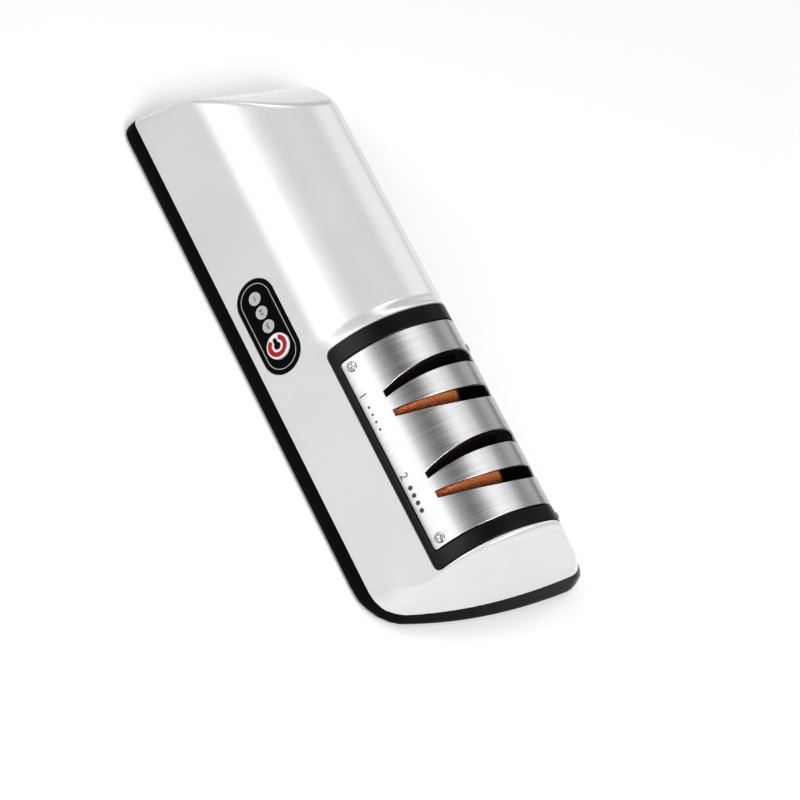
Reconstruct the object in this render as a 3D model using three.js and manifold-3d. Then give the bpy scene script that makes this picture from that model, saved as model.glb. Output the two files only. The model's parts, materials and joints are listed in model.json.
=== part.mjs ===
import * as THREE from 'three';
import { mergeVertices } from 'three/addons/utils/BufferGeometryUtils.js';
import Module from 'manifold-3d';

// Electric knife sharpener. Lengths are in millimetres.
// X runs from the handle's end to the slot end, Y from the near flank to the far flank, Z up.
// Heights are measured from the underside of the base; the feet reach below it.

const wasm = await Module();
wasm.setup();

// Fits shared by all pieces
const FIT = 0.3;
const CUT = 2;
const ROUND_SIDES = 32;
const SMALL_SIDES = 12;
const MERGE_DISTANCE = 0.0001;

// Casing
const LENGTH = 225;
const FRONT_END = LENGTH / 2;
const REAR_END = -LENGTH / 2;
const WIDTH = 89;
const HALF_WIDTH = WIDTH / 2;
const HANDLE_HEIGHT = 45.5;
const MODULE_RISE = 2.5;
const MODULE_HEIGHT = HANDLE_HEIGHT + MODULE_RISE;
const NEAR_SLOPE = THREE.MathUtils.degToRad(60);
const FAR_SLOPE = THREE.MathUtils.degToRad(55);
const CREST_RADIUS = 40;
const SHOULDER_RADIUS = 7.5;
const CREST_STEPS = 8;
const SHOULDER_STEPS = 4;
const FRONT_BOW = 3.1;
const FRONT_LEAN = THREE.MathUtils.degToRad(3);
const FRONT_CORNER = 13;
const REAR_CORNER = 8;
const END_ROLL = 33.7;
const WALL = 2.4;
const FLOOR = 2.6;
const SEAM_NEAR = 4.8;
const SEAM_FAR = 12;
const LIP_RISE = 2.2;
const LIP_THICKNESS = 1.2;

const nearFlankY = (height) => -HALF_WIDTH + height / Math.tan(NEAR_SLOPE);
const farFlankY = (height) => HALF_WIDTH - height / Math.tan(FAR_SLOPE);

// The crest's arc is as large as the flanks leave room for
function crestRadius(height) {
  const flat = farFlankY(height) - nearFlankY(height) - SHOULDER_RADIUS * Math.tan(FAR_SLOPE / 2);
  return Math.min(CREST_RADIUS, flat / Math.tan(NEAR_SLOPE / 2));
}

// Raised module with its frame and plate
const MODULE_FRONT_GAP = 4.1;
const MODULE_FRONT = FRONT_END - MODULE_FRONT_GAP;
const MODULE_RAMP = 6.2;
const MODULE_DROP = 2;
const FRAME_FRONT_INSET = 1.1;
const FRAME_SHARE = 0.41022;
const FRAME_FRONT = MODULE_FRONT - FRAME_FRONT_INSET;
const FRAME_REAR = FRAME_FRONT - LENGTH * FRAME_SHARE;
const MODULE_BEHIND_FRAME = 6.5;
const MODULE_REAR = FRAME_REAR - MODULE_BEHIND_FRAME;
const FRAME_NEAR_DROP = 20.4;
const FRAME_FAR_DROP = 21;
const FRAME_NEAR_HEIGHT = MODULE_HEIGHT - FRAME_NEAR_DROP;
const FRAME_FAR_HEIGHT = MODULE_HEIGHT - FRAME_FAR_DROP;
const FRAME_THICKNESS = 3;
const FRAME_REAR_BAND = 7.2;
const FRAME_FRONT_BAND = 6.6;
const FRAME_NEAR_BAND = 2.6;
const FRAME_FAR_BAND = 3;
const PLATE_REAR = FRAME_REAR + FRAME_REAR_BAND;
const PLATE_FRONT = FRAME_FRONT - FRAME_FRONT_BAND;
const PLATE_NEAR_HEIGHT = FRAME_NEAR_HEIGHT + FRAME_NEAR_BAND;
const PLATE_FAR_HEIGHT = FRAME_FAR_HEIGHT + FRAME_FAR_BAND;
const PLATE_THICKNESS = 1;
const LEDGE_SIDE = 1.9;
const LEDGE_END = 5;
const PLATE_SCREW_INSET = 3.2;
const PLATE_SCREW_HEAD = 1.9;
const PLATE_SCREW_SHANK = 0.9;
const PLATE_SCREW_LENGTH = 2.4;
const PLATE_SCREW_DOME = 0.5;

// Slots and wheels
const WHEEL_OVER_FLOOR = 3.4;
const WHEEL_UNDER_TOP = 4;
const WHEEL_FLANK_ROOM = 3.1;
const UPRIGHT_ROOM = (MODULE_HEIGHT - WHEEL_UNDER_TOP - FLOOR - WHEEL_OVER_FLOOR) / 2;
const FLANK_ROOM = (HALF_WIDTH * Math.sin(FAR_SLOPE) - (FLOOR + WHEEL_OVER_FLOOR) * Math.cos(FAR_SLOPE)
  - WHEEL_FLANK_ROOM) / (1 + Math.cos(FAR_SLOPE));
const WHEEL_RADIUS = Math.min(UPRIGHT_ROOM, FLANK_ROOM);
const SPINDLE_HEIGHT = FLOOR + WHEEL_OVER_FLOOR + WHEEL_RADIUS;
const WHEEL_HALF = 2.6;
const WHEEL_BORE = 6.2;
const WHEEL_CLEARANCE = 1.2;
const FINE_SHARE = 0.293;
const COARSE_SHARE = 0.73;
const FINE_X = PLATE_REAR + (PLATE_FRONT - PLATE_REAR) * FINE_SHARE;
const COARSE_X = PLATE_REAR + (PLATE_FRONT - PLATE_REAR) * COARSE_SHARE;
const SLOT_DEPTH = 15.5;
const SLOT_FLOOR = MODULE_HEIGHT - SLOT_DEPTH;
const SLOT_REFERENCE_DEPTH = 11;
const SLOT_REFERENCE = MODULE_HEIGHT - SLOT_REFERENCE_DEPTH;
const SLOT_INNER_AT_REFERENCE = 2.6;
const SLOT_WIDTH_AT_REFERENCE = 2.6;
const SLOT_INNER_LEAN = THREE.MathUtils.degToRad(12.3);
const SLOT_OUTER_LEAN = THREE.MathUtils.degToRad(25.3);
const GUARD_THICKNESS = 0.9;
const GUARD_REFERENCE_Y = 1.3;
const GUARD_RAKE = THREE.MathUtils.degToRad(33);
const GUARD_REFERENCE_DEPTH = 3.1;
const GUARD_REFERENCE_Z = MODULE_HEIGHT - GUARD_REFERENCE_DEPTH;
const GUIDE_END_INSET = 5.3;
const GUIDE_NEAR_ROOM = 4.66;
const GUIDE_FAR_ROOM = 5;
const GUIDE_NEAR_WALL = 2.1;
const GUIDE_FAR_CUT = 2.8;
const GUIDE_DEPTH = 19;
const GUIDE_REAR = PLATE_REAR + GUIDE_END_INSET;
const GUIDE_FRONT = PLATE_FRONT - GUIDE_END_INSET;
const GUIDE_BOTTOM = MODULE_HEIGHT - GUIDE_DEPTH;
const GUIDE_NEAR = nearFlankY(GUIDE_BOTTOM) + GUIDE_NEAR_ROOM;
const GUIDE_FAR = farFlankY(GUIDE_BOTTOM) - GUIDE_FAR_ROOM;
const SLOT_NEAR = GUIDE_NEAR + GUIDE_NEAR_WALL;
const SLOT_FAR = GUIDE_FAR + GUIDE_FAR_CUT;

// Spindle
const SHAFT_RADIUS = 3;
const SHAFT_BEYOND_REAR = 8.6;
const SHAFT_BEYOND_FRONT = 9.4;
const HUB_RADIUS = 5.9;
const HUB_HALF = 6;
const FLANGE_RADIUS = 8.5;
const FLANGE_THICKNESS = 1.5;
const SPACER_RADIUS = 4.8;
const NUT_RADIUS = 5.2;
const NUT_SIDES = 6;
const NUT_THICKNESS = 2.4;
const BEARING_RADIUS = 9.5;
const BEARING_WIDTH = 5.6;
const BRACKET_THICKNESS = 6.5;
const BRACKET_BEHIND_GUIDE = 9.1;
const BRACKET_BEFORE_GUIDE = 2.5;
const BRACKET_REAR_X = GUIDE_REAR - BRACKET_BEHIND_GUIDE;
const BRACKET_FRONT_X = GUIDE_FRONT + BRACKET_BEFORE_GUIDE;
const SHAFT_REAR = BRACKET_REAR_X - SHAFT_BEYOND_REAR;
const SHAFT_FRONT = BRACKET_FRONT_X + SHAFT_BEYOND_FRONT;
const BRACKET_RING = 12.6;
const BRACKET_LIP = 0.7;
const BRACKET_FOOT_HALF = 20;
const BRACKET_FOOT_THICKNESS = 3.2;
const BRACKET_WAIST_HALF = 10;

// Motor
const MOTOR_ROOM = 3.1;
const MOTOR_ROOF_ROOM = HANDLE_HEIGHT - SPINDLE_HEIGHT - WALL - MOTOR_ROOM;
const MOTOR_FLANK_ROOM = HALF_WIDTH * Math.sin(FAR_SLOPE) - SPINDLE_HEIGHT * Math.cos(FAR_SLOPE)
  - WALL - MOTOR_ROOM;
const STRAP_THICKNESS = 1.8;
const STRAP_GAP = 0.3;
const MOTOR_CREST = crestRadius(HANDLE_HEIGHT);
const CREST_OFF_AXIS = Math.hypot(nearFlankY(HANDLE_HEIGHT) + MOTOR_CREST * Math.tan(NEAR_SLOPE / 2),
  HANDLE_HEIGHT - MOTOR_CREST - SPINDLE_HEIGHT);
const MOTOR_CREST_ROOM = MOTOR_CREST - CREST_OFF_AXIS - WALL - STRAP_THICKNESS - FIT - STRAP_GAP;
const MOTOR_RADIUS = Math.min(MOTOR_ROOF_ROOM, MOTOR_FLANK_ROOM, MOTOR_CREST_ROOM);
const MOTOR_SHARE = 0.3434;
const MOTOR_LENGTH = (SHAFT_REAR - REAR_END) * MOTOR_SHARE;
const MOTOR_TO_SHAFT = 9.8;
const MOTOR_FRONT = SHAFT_REAR - MOTOR_TO_SHAFT;
const MOTOR_REAR = MOTOR_FRONT - MOTOR_LENGTH;
const MOTOR_WALL = 1.5;
const MOTOR_BOSS = MOTOR_RADIUS / 3;
const MOTOR_BOSS_LENGTH = 2.5;
const MOTOR_CAP_THICKNESS = 2.4;
const MOTOR_SHAFT_RADIUS = 1.6;
const SHAFT_MEETING_GAP = 0.6;
const MOTOR_SHAFT_FRONT = SHAFT_REAR - SHAFT_MEETING_GAP;
const MAGNET_THICKNESS = 3;
const ARMATURE_GAP = 0.7;
const MAGNET_INNER = MOTOR_RADIUS - MOTOR_WALL - FIT - MAGNET_THICKNESS;
const ARMATURE_RADIUS = MAGNET_INNER - ARMATURE_GAP;
const ARMATURE_REAR_ROOM = 7;
const ARMATURE_FRONT_ROOM = 8;
const ARMATURE_REAR = MOTOR_REAR + ARMATURE_REAR_ROOM;
const ARMATURE_FRONT = MOTOR_FRONT - ARMATURE_FRONT_ROOM;
const MAGNET_HALF_ANGLE = THREE.MathUtils.degToRad(58);
const COUPLING_SHARE = 0.4;
const COUPLING_RADIUS = MOTOR_RADIUS * COUPLING_SHARE;
const COUPLING_ON_MOTOR = 5.8;
const COUPLING_ON_SPINDLE = 6.6;
const COUPLING_REAR = SHAFT_REAR - COUPLING_ON_MOTOR;
const COUPLING_FRONT = SHAFT_REAR + COUPLING_ON_SPINDLE;
const MOUNT_GAP = 0.4;
const MOUNT_X = MOTOR_FRONT + MOUNT_GAP;
const MOUNT_THICKNESS = 2.6;
const MOUNT_SIDE_INSET = 1;
const MOUNT_HALF = MOTOR_RADIUS - MOUNT_SIDE_INSET;
const MOUNT_FOOT_DEPTH = 9;
const CRADLE_INSET = 2;
const CRADLE_LENGTH = 10;
const CRADLE_REAR = MOTOR_REAR + CRADLE_INSET;
const CRADLE_FRONT = CRADLE_REAR + CRADLE_LENGTH;
const CRADLE_EAR = 7.5;
const CRADLE_HALF = MOTOR_RADIUS + CRADLE_EAR;
const CRADLE_UNDER_SPINDLE = 6.5;
const CRADLE_TOP = SPINDLE_HEIGHT - CRADLE_UNDER_SPINDLE;
const STRAP_EAR = 2.4;
const MOTOR_SCREW_HEAD = 1.8;
const MOTOR_SCREW_SHARE = 0.567;
const MOTOR_SCREW_SPACING = MOTOR_RADIUS * MOTOR_SCREW_SHARE;

// Feet, bosses and screws
const FOOT_PROUD = 1.2;
const FOOT_RADIUS = 6;
const FOOT_RECESS = 0.8;
const FOOT_REAR_INSET = 15.5;
const FOOT_FRONT_INSET = 16.5;
const FOOT_SIDE_INSET = 17.5;
const FOOT_REAR_X = REAR_END + FOOT_REAR_INSET;
const FOOT_FRONT_X = FRONT_END - FOOT_FRONT_INSET;
const FOOT_Y = HALF_WIDTH - FOOT_SIDE_INSET;
const CASE_SCREW_REAR_INSET = 30.5;
const CASE_SCREW_FRONT_INSET = 34.5;
const CASE_SCREW_SHARE = 0.663;
const CASE_SCREW_REAR_X = REAR_END + CASE_SCREW_REAR_INSET;
const CASE_SCREW_FRONT_X = FRONT_END - CASE_SCREW_FRONT_INSET;
const CASE_SCREW_Y = HALF_WIDTH * CASE_SCREW_SHARE;
const CASE_SCREW_HEAD = 3;
const CASE_SCREW_HEAD_HEIGHT = 1.5;
const CASE_SCREW_SHANK = 1.5;
const CASE_SCREW_TOP = 12;
const CASE_POST_RADIUS = 3.6;
const CASE_POST_BOTTOM = 5;
const CASE_POST_TOP = 22;
const BOSS_RADIUS = 3.8;
const BOSS_TOP = 6.6;
const INNER_SCREW_HEAD = 2.7;
const INNER_SCREW_HEAD_HEIGHT = 1.7;
const INNER_SCREW_SHANK = 1.4;

// Control panel on the near flank, in the flank's own axes
const PANEL_BEHIND_MODULE = 16.6;
const PANEL_X = MODULE_REAR - PANEL_BEHIND_MODULE;
const PANEL_UP = 17.4;
const PANEL_RADIUS = 7.95;
const PANEL_HALF_STRAIGHT = 11.2;
const PANEL_PROUD = 0.15;
const PANEL_THICKNESS = 1;
const BUTTON_X = 8.8;
const BUTTON_RADIUS = 5.05;
const BUTTON_PROUD = 0.6;
const BUTTON_FLANGE = 6.2;
const BUTTON_FLANGE_THICKNESS = 0.8;
const BUTTON_STEM = 1.8;
const BUTTON_TRAVEL = 0.5;
const INDICATOR_X = [-12.1, -6, 0];
const INDICATOR_RADIUS = 2.57;
const INDICATOR_STEM = 1.5;
const BOARD_DEPTH = 8.5;
const BOARD_THICKNESS = 1.6;
const BOARD_REAR = -20.5;
const BOARD_FRONT = 21;
const BOARD_HALF_HEIGHT = 7;
const BOARD_POST_X = [-17.5, 18.2];
const BOARD_POST_RADIUS = 2;
const BOARD_PEG_RADIUS = 1;
const SWITCH_SIZE = 6;
const SWITCH_HEIGHT = 3.4;
const SWITCH_PLUNGER = 1.6;
const SWITCH_PLUNGER_PROUD = 0.9;
const SWITCH_PLUNGER_SUNK = 1.3;
const LED_SIZE = 2.4;
const LED_HEIGHT = 0.8;

// Battery, boards and charging socket
const CELL_RADIUS = 9;
const CELL_Y = CELL_RADIUS + 2 * FIT;
const TRAY_WALL = 1.6;
const TRAY_BOTTOM = FLOOR + FIT / 3;
const CELL_HEIGHT = TRAY_BOTTOM + TRAY_WALL + FIT + CELL_RADIUS;
const PORT_TRIM = 4.6;
const CHARGE_BOARD_DEPTH = 7.8;
const CELL_ROLL_ROOM = 7.2;
const CELL_SOCKET_ROOM = 2.5;
const CELL_FRONT_ROOM = 5;
const ROLLED_AT_CELLS = END_ROLL * ((CELL_HEIGHT + CELL_RADIUS) / HANDLE_HEIGHT) ** 2;
const SOCKET_AT_CELLS = PORT_TRIM + FIT + CHARGE_BOARD_DEPTH;
const CELL_REAR = REAR_END + Math.max(ROLLED_AT_CELLS + CELL_ROLL_ROOM, SOCKET_AT_CELLS + CELL_SOCKET_ROOM);
const CELL_FRONT = MOTOR_REAR - CELL_FRONT_ROOM;
const TRAY_HEIGHT = 10;
const MAIN_BOARD_WIDTH = 14.5;
const MAIN_BOARD_END_ROOM = 4;
const MAIN_BOARD_SIDE_ROOM = 11.5;
const MAIN_BOARD_FRONT = MOTOR_FRONT - MAIN_BOARD_END_ROOM;
const MAIN_BOARD_REAR = CRADLE_FRONT + MAIN_BOARD_END_ROOM;
const MAIN_BOARD_FAR = HALF_WIDTH - MAIN_BOARD_SIDE_ROOM;
const MAIN_BOARD_NEAR = MAIN_BOARD_FAR - MAIN_BOARD_WIDTH;
const MAIN_BOARD_THICKNESS = 1.6;
const CHIP_SIZE = 7;
const CHIP_HEIGHT = 1.6;
const SOCKET_SIDE_INSET = 22.5;
const SOCKET_Y = HALF_WIDTH - SOCKET_SIDE_INSET;
const SOCKET_HEIGHT = 6.8;
const SOCKET_WIDTH = 9;
const SOCKET_TALL = 3.4;
const SOCKET_DEPTH = 7;
const SOCKET_WALL = 0.4;
const SOCKET_TONGUE = 0.8;
const PORT_WIDTH = 10.6;
const PORT_TALL = 4.8;
const CHARGE_BOARD_HALF = 8;
const CHARGE_BOARD_THICKNESS = 1.2;

// Materials
const finish = (color, roughness, metalness) => (
  new THREE.MeshStandardMaterial({ color, roughness, metalness }));
const WHITE_GLOSS = finish(0xf2f2f2, 0.16, 0);
const BLACK_GLOSS = finish(0x0b0b0c, 0.2, 0);
const BLACK_SATIN = finish(0x1c1c1e, 0.35, 0);
const BLACK_GUIDE = finish(0x0a0a0a, 0.45, 0);
const BRUSHED_STEEL = finish(0xc3c5c6, 0.3, 1);
const PLAIN_STEEL = finish(0xa9abad, 0.35, 1);
const ORANGE_GRIT = finish(0xe8622a, 0.85, 0);
const WHITE_BUTTON = finish(0xf4f4f4, 0.25, 0);
const GREY_LENS = finish(0x9b9b9b, 0.3, 0);
const RUBBER = finish(0x161616, 0.9, 0);
const BOARD_GREEN = finish(0x1c5a34, 0.5, 0);
const CELL_BLUE = finish(0x2f5f9c, 0.4, 0);
const GREY_PLASTIC = finish(0x6a6c6f, 0.5, 0);
const BRASS = finish(0xb08d4a, 0.35, 1);
const COPPER = finish(0xa65f38, 0.4, 1);
const MAGNET_GREY = finish(0x3b3d40, 0.6, 0.4);

// Solids from geometry, and back

function solidOf(geometry, matrix) {
  const bare = (geometry.index ? geometry.toNonIndexed() : geometry.clone());
  bare.deleteAttribute('normal');
  bare.deleteAttribute('uv');
  if (matrix) bare.applyMatrix4(matrix);
  const merged = mergeVertices(bare, MERGE_DISTANCE);
  return new wasm.Manifold(new wasm.Mesh({
    numProp: 3,
    vertProperties: new Float32Array(merged.attributes.position.array),
    triVerts: new Uint32Array(merged.index.array),
  }));
}

function piece(name, solid, material) {
  const mesh = solid.getMesh();
  const geometry = new THREE.BufferGeometry();
  const places = new Float32Array(mesh.vertProperties);
  geometry.setAttribute('position', new THREE.BufferAttribute(places, 3));
  geometry.setIndex(new THREE.BufferAttribute(new Uint32Array(mesh.triVerts), 1));
  geometry.computeVertexNormals();
  const made = new THREE.Mesh(geometry, material);
  made.name = name;
  return made;
}

const joined = (solids) => solids.reduce((whole, next) => whole.add(next));
const shapeOf = (points) => new THREE.Shape(points.map(([x, y]) => new THREE.Vector2(x, y)));

// A flat outline swept along X, Y or Z between two places
const ALONG_X = new THREE.Matrix4().makeBasis(
  new THREE.Vector3(0, 1, 0), new THREE.Vector3(0, 0, 1), new THREE.Vector3(1, 0, 0));
const ALONG_Y = new THREE.Matrix4().makeBasis(
  new THREE.Vector3(-1, 0, 0), new THREE.Vector3(0, 0, 1), new THREE.Vector3(0, 1, 0));

function sweep(shape, from, to, basis, matrix, curveSegments = SMALL_SIDES) {
  const geometry = new THREE.ExtrudeGeometry(shape, { depth: to - from, bevelEnabled: false, curveSegments });
  geometry.translate(0, 0, from);
  if (basis) geometry.applyMatrix4(basis);
  return solidOf(geometry, matrix);
}

const sweepX = (points, from, to) => sweep(shapeOf(points), from, to, ALONG_X);
const sweepY = (points, from, to) => sweep(shapeOf(points.map(([x, z]) => [-x, z])), from, to, ALONG_Y);
const sweepZ = (points, from, to, matrix) => sweep(shapeOf(points), from, to, null, matrix);

function box(fromX, toX, fromY, toY, fromZ, toZ, matrix) {
  const geometry = new THREE.BoxGeometry(toX - fromX, toY - fromY, toZ - fromZ);
  geometry.translate((fromX + toX) / 2, (fromY + toY) / 2, (fromZ + toZ) / 2);
  return solidOf(geometry, matrix);
}

function rodX(radius, from, to, sides = ROUND_SIDES, y = 0, z = SPINDLE_HEIGHT) {
  const geometry = new THREE.CylinderGeometry(radius, radius, to - from, sides);
  geometry.rotateZ(-Math.PI / 2);
  geometry.translate((from + to) / 2, y, z);
  return solidOf(geometry);
}

function rodZ(radius, from, to, x, y, sides = SMALL_SIDES, matrix) {
  const geometry = new THREE.CylinderGeometry(radius, radius, to - from, sides);
  geometry.rotateX(Math.PI / 2);
  geometry.translate(x, y, (from + to) / 2);
  return solidOf(geometry, matrix);
}

// Casing section across the body, near foot to far foot, moved inward by a distance

const UNDER = 12;

function arcPoints(centreY, centreZ, radius, fromAngle, toAngle, steps) {
  const points = [];
  for (let step = 0; step <= steps; step += 1) {
    const angle = fromAngle + (toAngle - fromAngle) * (step / steps);
    points.push([centreY + radius * Math.cos(angle), centreZ + radius * Math.sin(angle)]);
  }
  return points;
}

function sectionPoints(height, inset = 0) {
  const top = height - inset;
  const crest = Math.max(crestRadius(height) - inset, FIT);
  const shoulder = Math.max(SHOULDER_RADIUS - inset, FIT);
  const nearTop = nearFlankY(top) + inset / Math.sin(NEAR_SLOPE);
  const farTop = farFlankY(top) - inset / Math.sin(FAR_SLOPE);
  const crestY = nearTop + crest * Math.tan(NEAR_SLOPE / 2);
  const shoulderY = farTop - shoulder * Math.tan(FAR_SLOPE / 2);
  return [
    [nearFlankY(-UNDER) + inset / Math.sin(NEAR_SLOPE), -UNDER],
    ...arcPoints(crestY, top - crest, crest, Math.PI / 2 + NEAR_SLOPE, Math.PI / 2, CREST_STEPS),
    ...arcPoints(shoulderY, top - shoulder, shoulder, Math.PI / 2, Math.PI / 2 - FAR_SLOPE, SHOULDER_STEPS),
    [farFlankY(-UNDER) - inset / Math.sin(FAR_SLOPE), -UNDER],
  ];
}

// The casing's height along its length: handle, soft ramp, module, short drop to the end
const RAMP_SHARES = [0, 0.25, 0.5, 0.75, 1];

function heightStations() {
  const rise = MODULE_HEIGHT - HANDLE_HEIGHT;
  const soft = (share) => share * share * (3 - 2 * share);
  const along = (from, run, height) => RAMP_SHARES.map((share) => [from + run * share, height(soft(share))]);
  const ramp = along(MODULE_REAR, MODULE_RAMP, (share) => HANDLE_HEIGHT + rise * share);
  const drop = along(MODULE_FRONT, MODULE_DROP, (share) => MODULE_HEIGHT - rise * share);
  return [[-LENGTH, HANDLE_HEIGHT], ...ramp, ...drop, [LENGTH, HANDLE_HEIGHT]];
}

function loftX(stations, inset) {
  const rings = stations.map(([x, height]) => sectionPoints(height, inset).map(([y, z]) => [x, y, z]));
  const count = rings[0].length;
  const positions = rings.flat(2);
  const faces = [];
  for (let ring = 0; ring + 1 < rings.length; ring += 1) {
    for (let point = 0; point < count; point += 1) {
      const next = (point + 1) % count;
      const a = ring * count + point;
      const b = ring * count + next;
      faces.push(a, a + count, b, b, a + count, b + count);
    }
  }
  const last = (rings.length - 1) * count;
  for (let point = 1; point + 1 < count; point += 1) {
    faces.push(0, point, point + 1);
    faces.push(last, last + point + 1, last + point);
  }
  const geometry = new THREE.BufferGeometry();
  geometry.setAttribute('position', new THREE.Float32BufferAttribute(positions, 3));
  geometry.setIndex(faces);
  return solidOf(geometry);
}

// Footprint with rounded corners and a bowed front
const FRONT_EDGE = FRONT_END - FRONT_BOW;
const BOW_STEPS = 6;
const CORNER_STEPS = 4;

function footprint(inset) {
  const side = HALF_WIDTH - inset;
  const front = FRONT_EDGE - inset;
  const rear = REAR_END + inset;
  const frontCorner = FRONT_CORNER - inset;
  const rearCorner = REAR_CORNER - inset;
  const bowed = (y) => FRONT_BOW * (1 - (y / (side - frontCorner)) ** 2);
  const quarter = Math.PI / 2;
  const points = [
    ...arcPoints(front - frontCorner, -side + frontCorner, frontCorner, -quarter, 0, CORNER_STEPS),
  ];
  for (let step = 1; step < BOW_STEPS; step += 1) {
    const y = (side - frontCorner) * (-1 + (2 * step) / BOW_STEPS);
    points.push([front + bowed(y), y]);
  }
  points.push(
    ...arcPoints(front - frontCorner, side - frontCorner, frontCorner, 0, quarter, CORNER_STEPS),
    ...arcPoints(rear + rearCorner, side - rearCorner, rearCorner, quarter, 2 * quarter, CORNER_STEPS),
    ...arcPoints(rear + rearCorner, -side + rearCorner, rearCorner, 2 * quarter, 3 * quarter, CORNER_STEPS),
  );
  return points;
}

// Side view: the handle's end is rolled over, the front leans back
const ROLL_STEPS = 7;

function sideView(inset) {
  const top = MODULE_HEIGHT + CUT;
  const points = [[REAR_END + inset, -UNDER]];
  for (let step = 0; step <= ROLL_STEPS; step += 1) {
    const z = top * (step / ROLL_STEPS);
    const slope = (2 * END_ROLL * z) / HANDLE_HEIGHT ** 2;
    points.push([REAR_END + END_ROLL * (z / HANDLE_HEIGHT) ** 2 + inset * Math.hypot(1, slope), z]);
  }
  points.push(
    [FRONT_END - top * Math.tan(FRONT_LEAN) - inset, top],
    [FRONT_END + UNDER * Math.tan(FRONT_LEAN) - inset, -UNDER],
  );
  return points;
}

function body(inset) {
  return loftX(heightStations(), inset)
    .intersect(sweepZ(footprint(inset), -UNDER, MODULE_HEIGHT + CUT))
    .intersect(sweepY(sideView(inset), -WIDTH, WIDTH));
}

// Everything above the sloping seam, moved up by a distance
function aboveSeam(rise) {
  const reach = WIDTH;
  const slope = (SEAM_FAR - SEAM_NEAR) / WIDTH;
  const near = SEAM_NEAR + rise - (reach - HALF_WIDTH) * slope;
  const far = SEAM_FAR + rise + (reach - HALF_WIDTH) * slope;
  const top = MODULE_HEIGHT + UNDER;
  return sweepX([[-reach, near], [reach, far], [reach, top], [-reach, top]], -LENGTH, LENGTH);
}

const slab = (from, to) => box(-LENGTH, LENGTH, -WIDTH, WIDTH, from, to);

// Wedge across the section, bounded by planes square to the skin at a near and a far height
function skinFrame(height) {
  const crest = crestRadius(MODULE_HEIGHT);
  const crestZ = MODULE_HEIGHT - crest;
  const crestY = nearFlankY(MODULE_HEIGHT) + crest * Math.tan(NEAR_SLOPE / 2);
  const tangentZ = crestZ + crest * Math.cos(NEAR_SLOPE);
  if (height <= tangentZ) {
    return { y: nearFlankY(height), z: height, outY: -Math.sin(NEAR_SLOPE), outZ: Math.cos(NEAR_SLOPE) };
  }
  const outZ = (height - crestZ) / crest;
  const outY = -Math.sqrt(1 - outZ * outZ);
  return { y: crestY + crest * outY, z: height, outY, outZ };
}

const SKIN_REACH = 9;

function skinWedge(nearHeight, farHeight, fromX, toX, grow = 0) {
  const near = skinFrame(nearHeight);
  const far = { y: farFlankY(farHeight), z: farHeight, outY: Math.sin(FAR_SLOPE), outZ: Math.cos(FAR_SLOPE) };
  const shiftY = grow * near.outZ;
  const shiftZ = grow * near.outY;
  const at = (edge, out, slideY, slideZ) => (
    [edge.y + edge.outY * out + slideY, edge.z + edge.outZ * out + slideZ]);
  const points = [
    at(near, -SKIN_REACH, -shiftY, shiftZ),
    at(far, -SKIN_REACH, grow * far.outZ, -grow * far.outY),
    at(far, SKIN_REACH, grow * far.outZ, -grow * far.outY),
    [far.y, MODULE_HEIGHT + UNDER],
    [near.y, MODULE_HEIGHT + UNDER],
    at(near, SKIN_REACH, -shiftY, shiftZ),
  ];
  return sweepX(points, fromX - grow, toX + grow);
}

// Skin of the module between two depths
function moduleSkin(fromDepth, toDepth) {
  const outer = sweepX(sectionPoints(MODULE_HEIGHT, fromDepth), FRAME_REAR - CUT, FRAME_FRONT + CUT);
  const inner = sweepX(sectionPoints(MODULE_HEIGHT, toDepth), FRAME_REAR - 2 * CUT, FRAME_FRONT + 2 * CUT);
  return outer.subtract(inner);
}

// Slots: leaning voids on both sides of each wheel

const slotInner = (z) => SLOT_INNER_AT_REFERENCE + (z - SLOT_REFERENCE) * Math.tan(SLOT_INNER_LEAN);
const slotOuter = (z) => SLOT_INNER_AT_REFERENCE + SLOT_WIDTH_AT_REFERENCE
  + (z - SLOT_REFERENCE) * Math.tan(SLOT_OUTER_LEAN);

function slotVoid(wheelX, side, fromY, toY, innerLimit = 0) {
  const top = MODULE_HEIGHT + CUT;
  const inner = (z) => Math.max(slotInner(z), innerLimit);
  const beyond = innerLimit - SLOT_INNER_AT_REFERENCE;
  const kink = SLOT_REFERENCE + beyond / Math.tan(SLOT_INNER_LEAN);
  const meeting = SLOT_REFERENCE + (beyond - SLOT_WIDTH_AT_REFERENCE) / Math.tan(SLOT_OUTER_LEAN);
  const low = innerLimit ? Math.max(meeting, SLOT_FLOOR) : SLOT_FLOOR;
  const points = [[inner(low), low]];
  if (innerLimit) points.push([innerLimit, kink]);
  points.push([inner(top), top], [slotOuter(top), top], [slotOuter(low), low]);
  const last = points.length - 1;
  const clean = points.filter(([u], place) => place < last || Math.abs(u - points[0][0]) > FIT / 10);
  return sweepY(clean.map(([u, z]) => [wheelX + side * u, z]), fromY, toY);
}

const WHEELS_X = [FINE_X, COARSE_X];
const SIDES = [-1, 1];
const eachSlot = (make) => joined(WHEELS_X.flatMap((x) => SIDES.map((side) => make(x, side))));

// Bearings and brackets sit at the same places along the spindle
const BRACKETS_X = [BRACKET_REAR_X, BRACKET_FRONT_X];
const bearingFrom = (bracketX) => bracketX + BRACKET_LIP + FIT / 2;
const BRACKET_SCREW_Y = BRACKET_FOOT_HALF - BOSS_RADIUS;
const CRADLE_SCREW_X = (CRADLE_REAR + CRADLE_FRONT) / 2;
const CRADLE_SCREW_Y = CRADLE_HALF - BOSS_RADIUS;
const MOUNT_SCREW_X = MOUNT_X + MOUNT_FOOT_DEPTH - BOSS_RADIUS;
const MOUNT_SCREW_Y = MOUNT_HALF - INNER_SCREW_HEAD;

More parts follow.
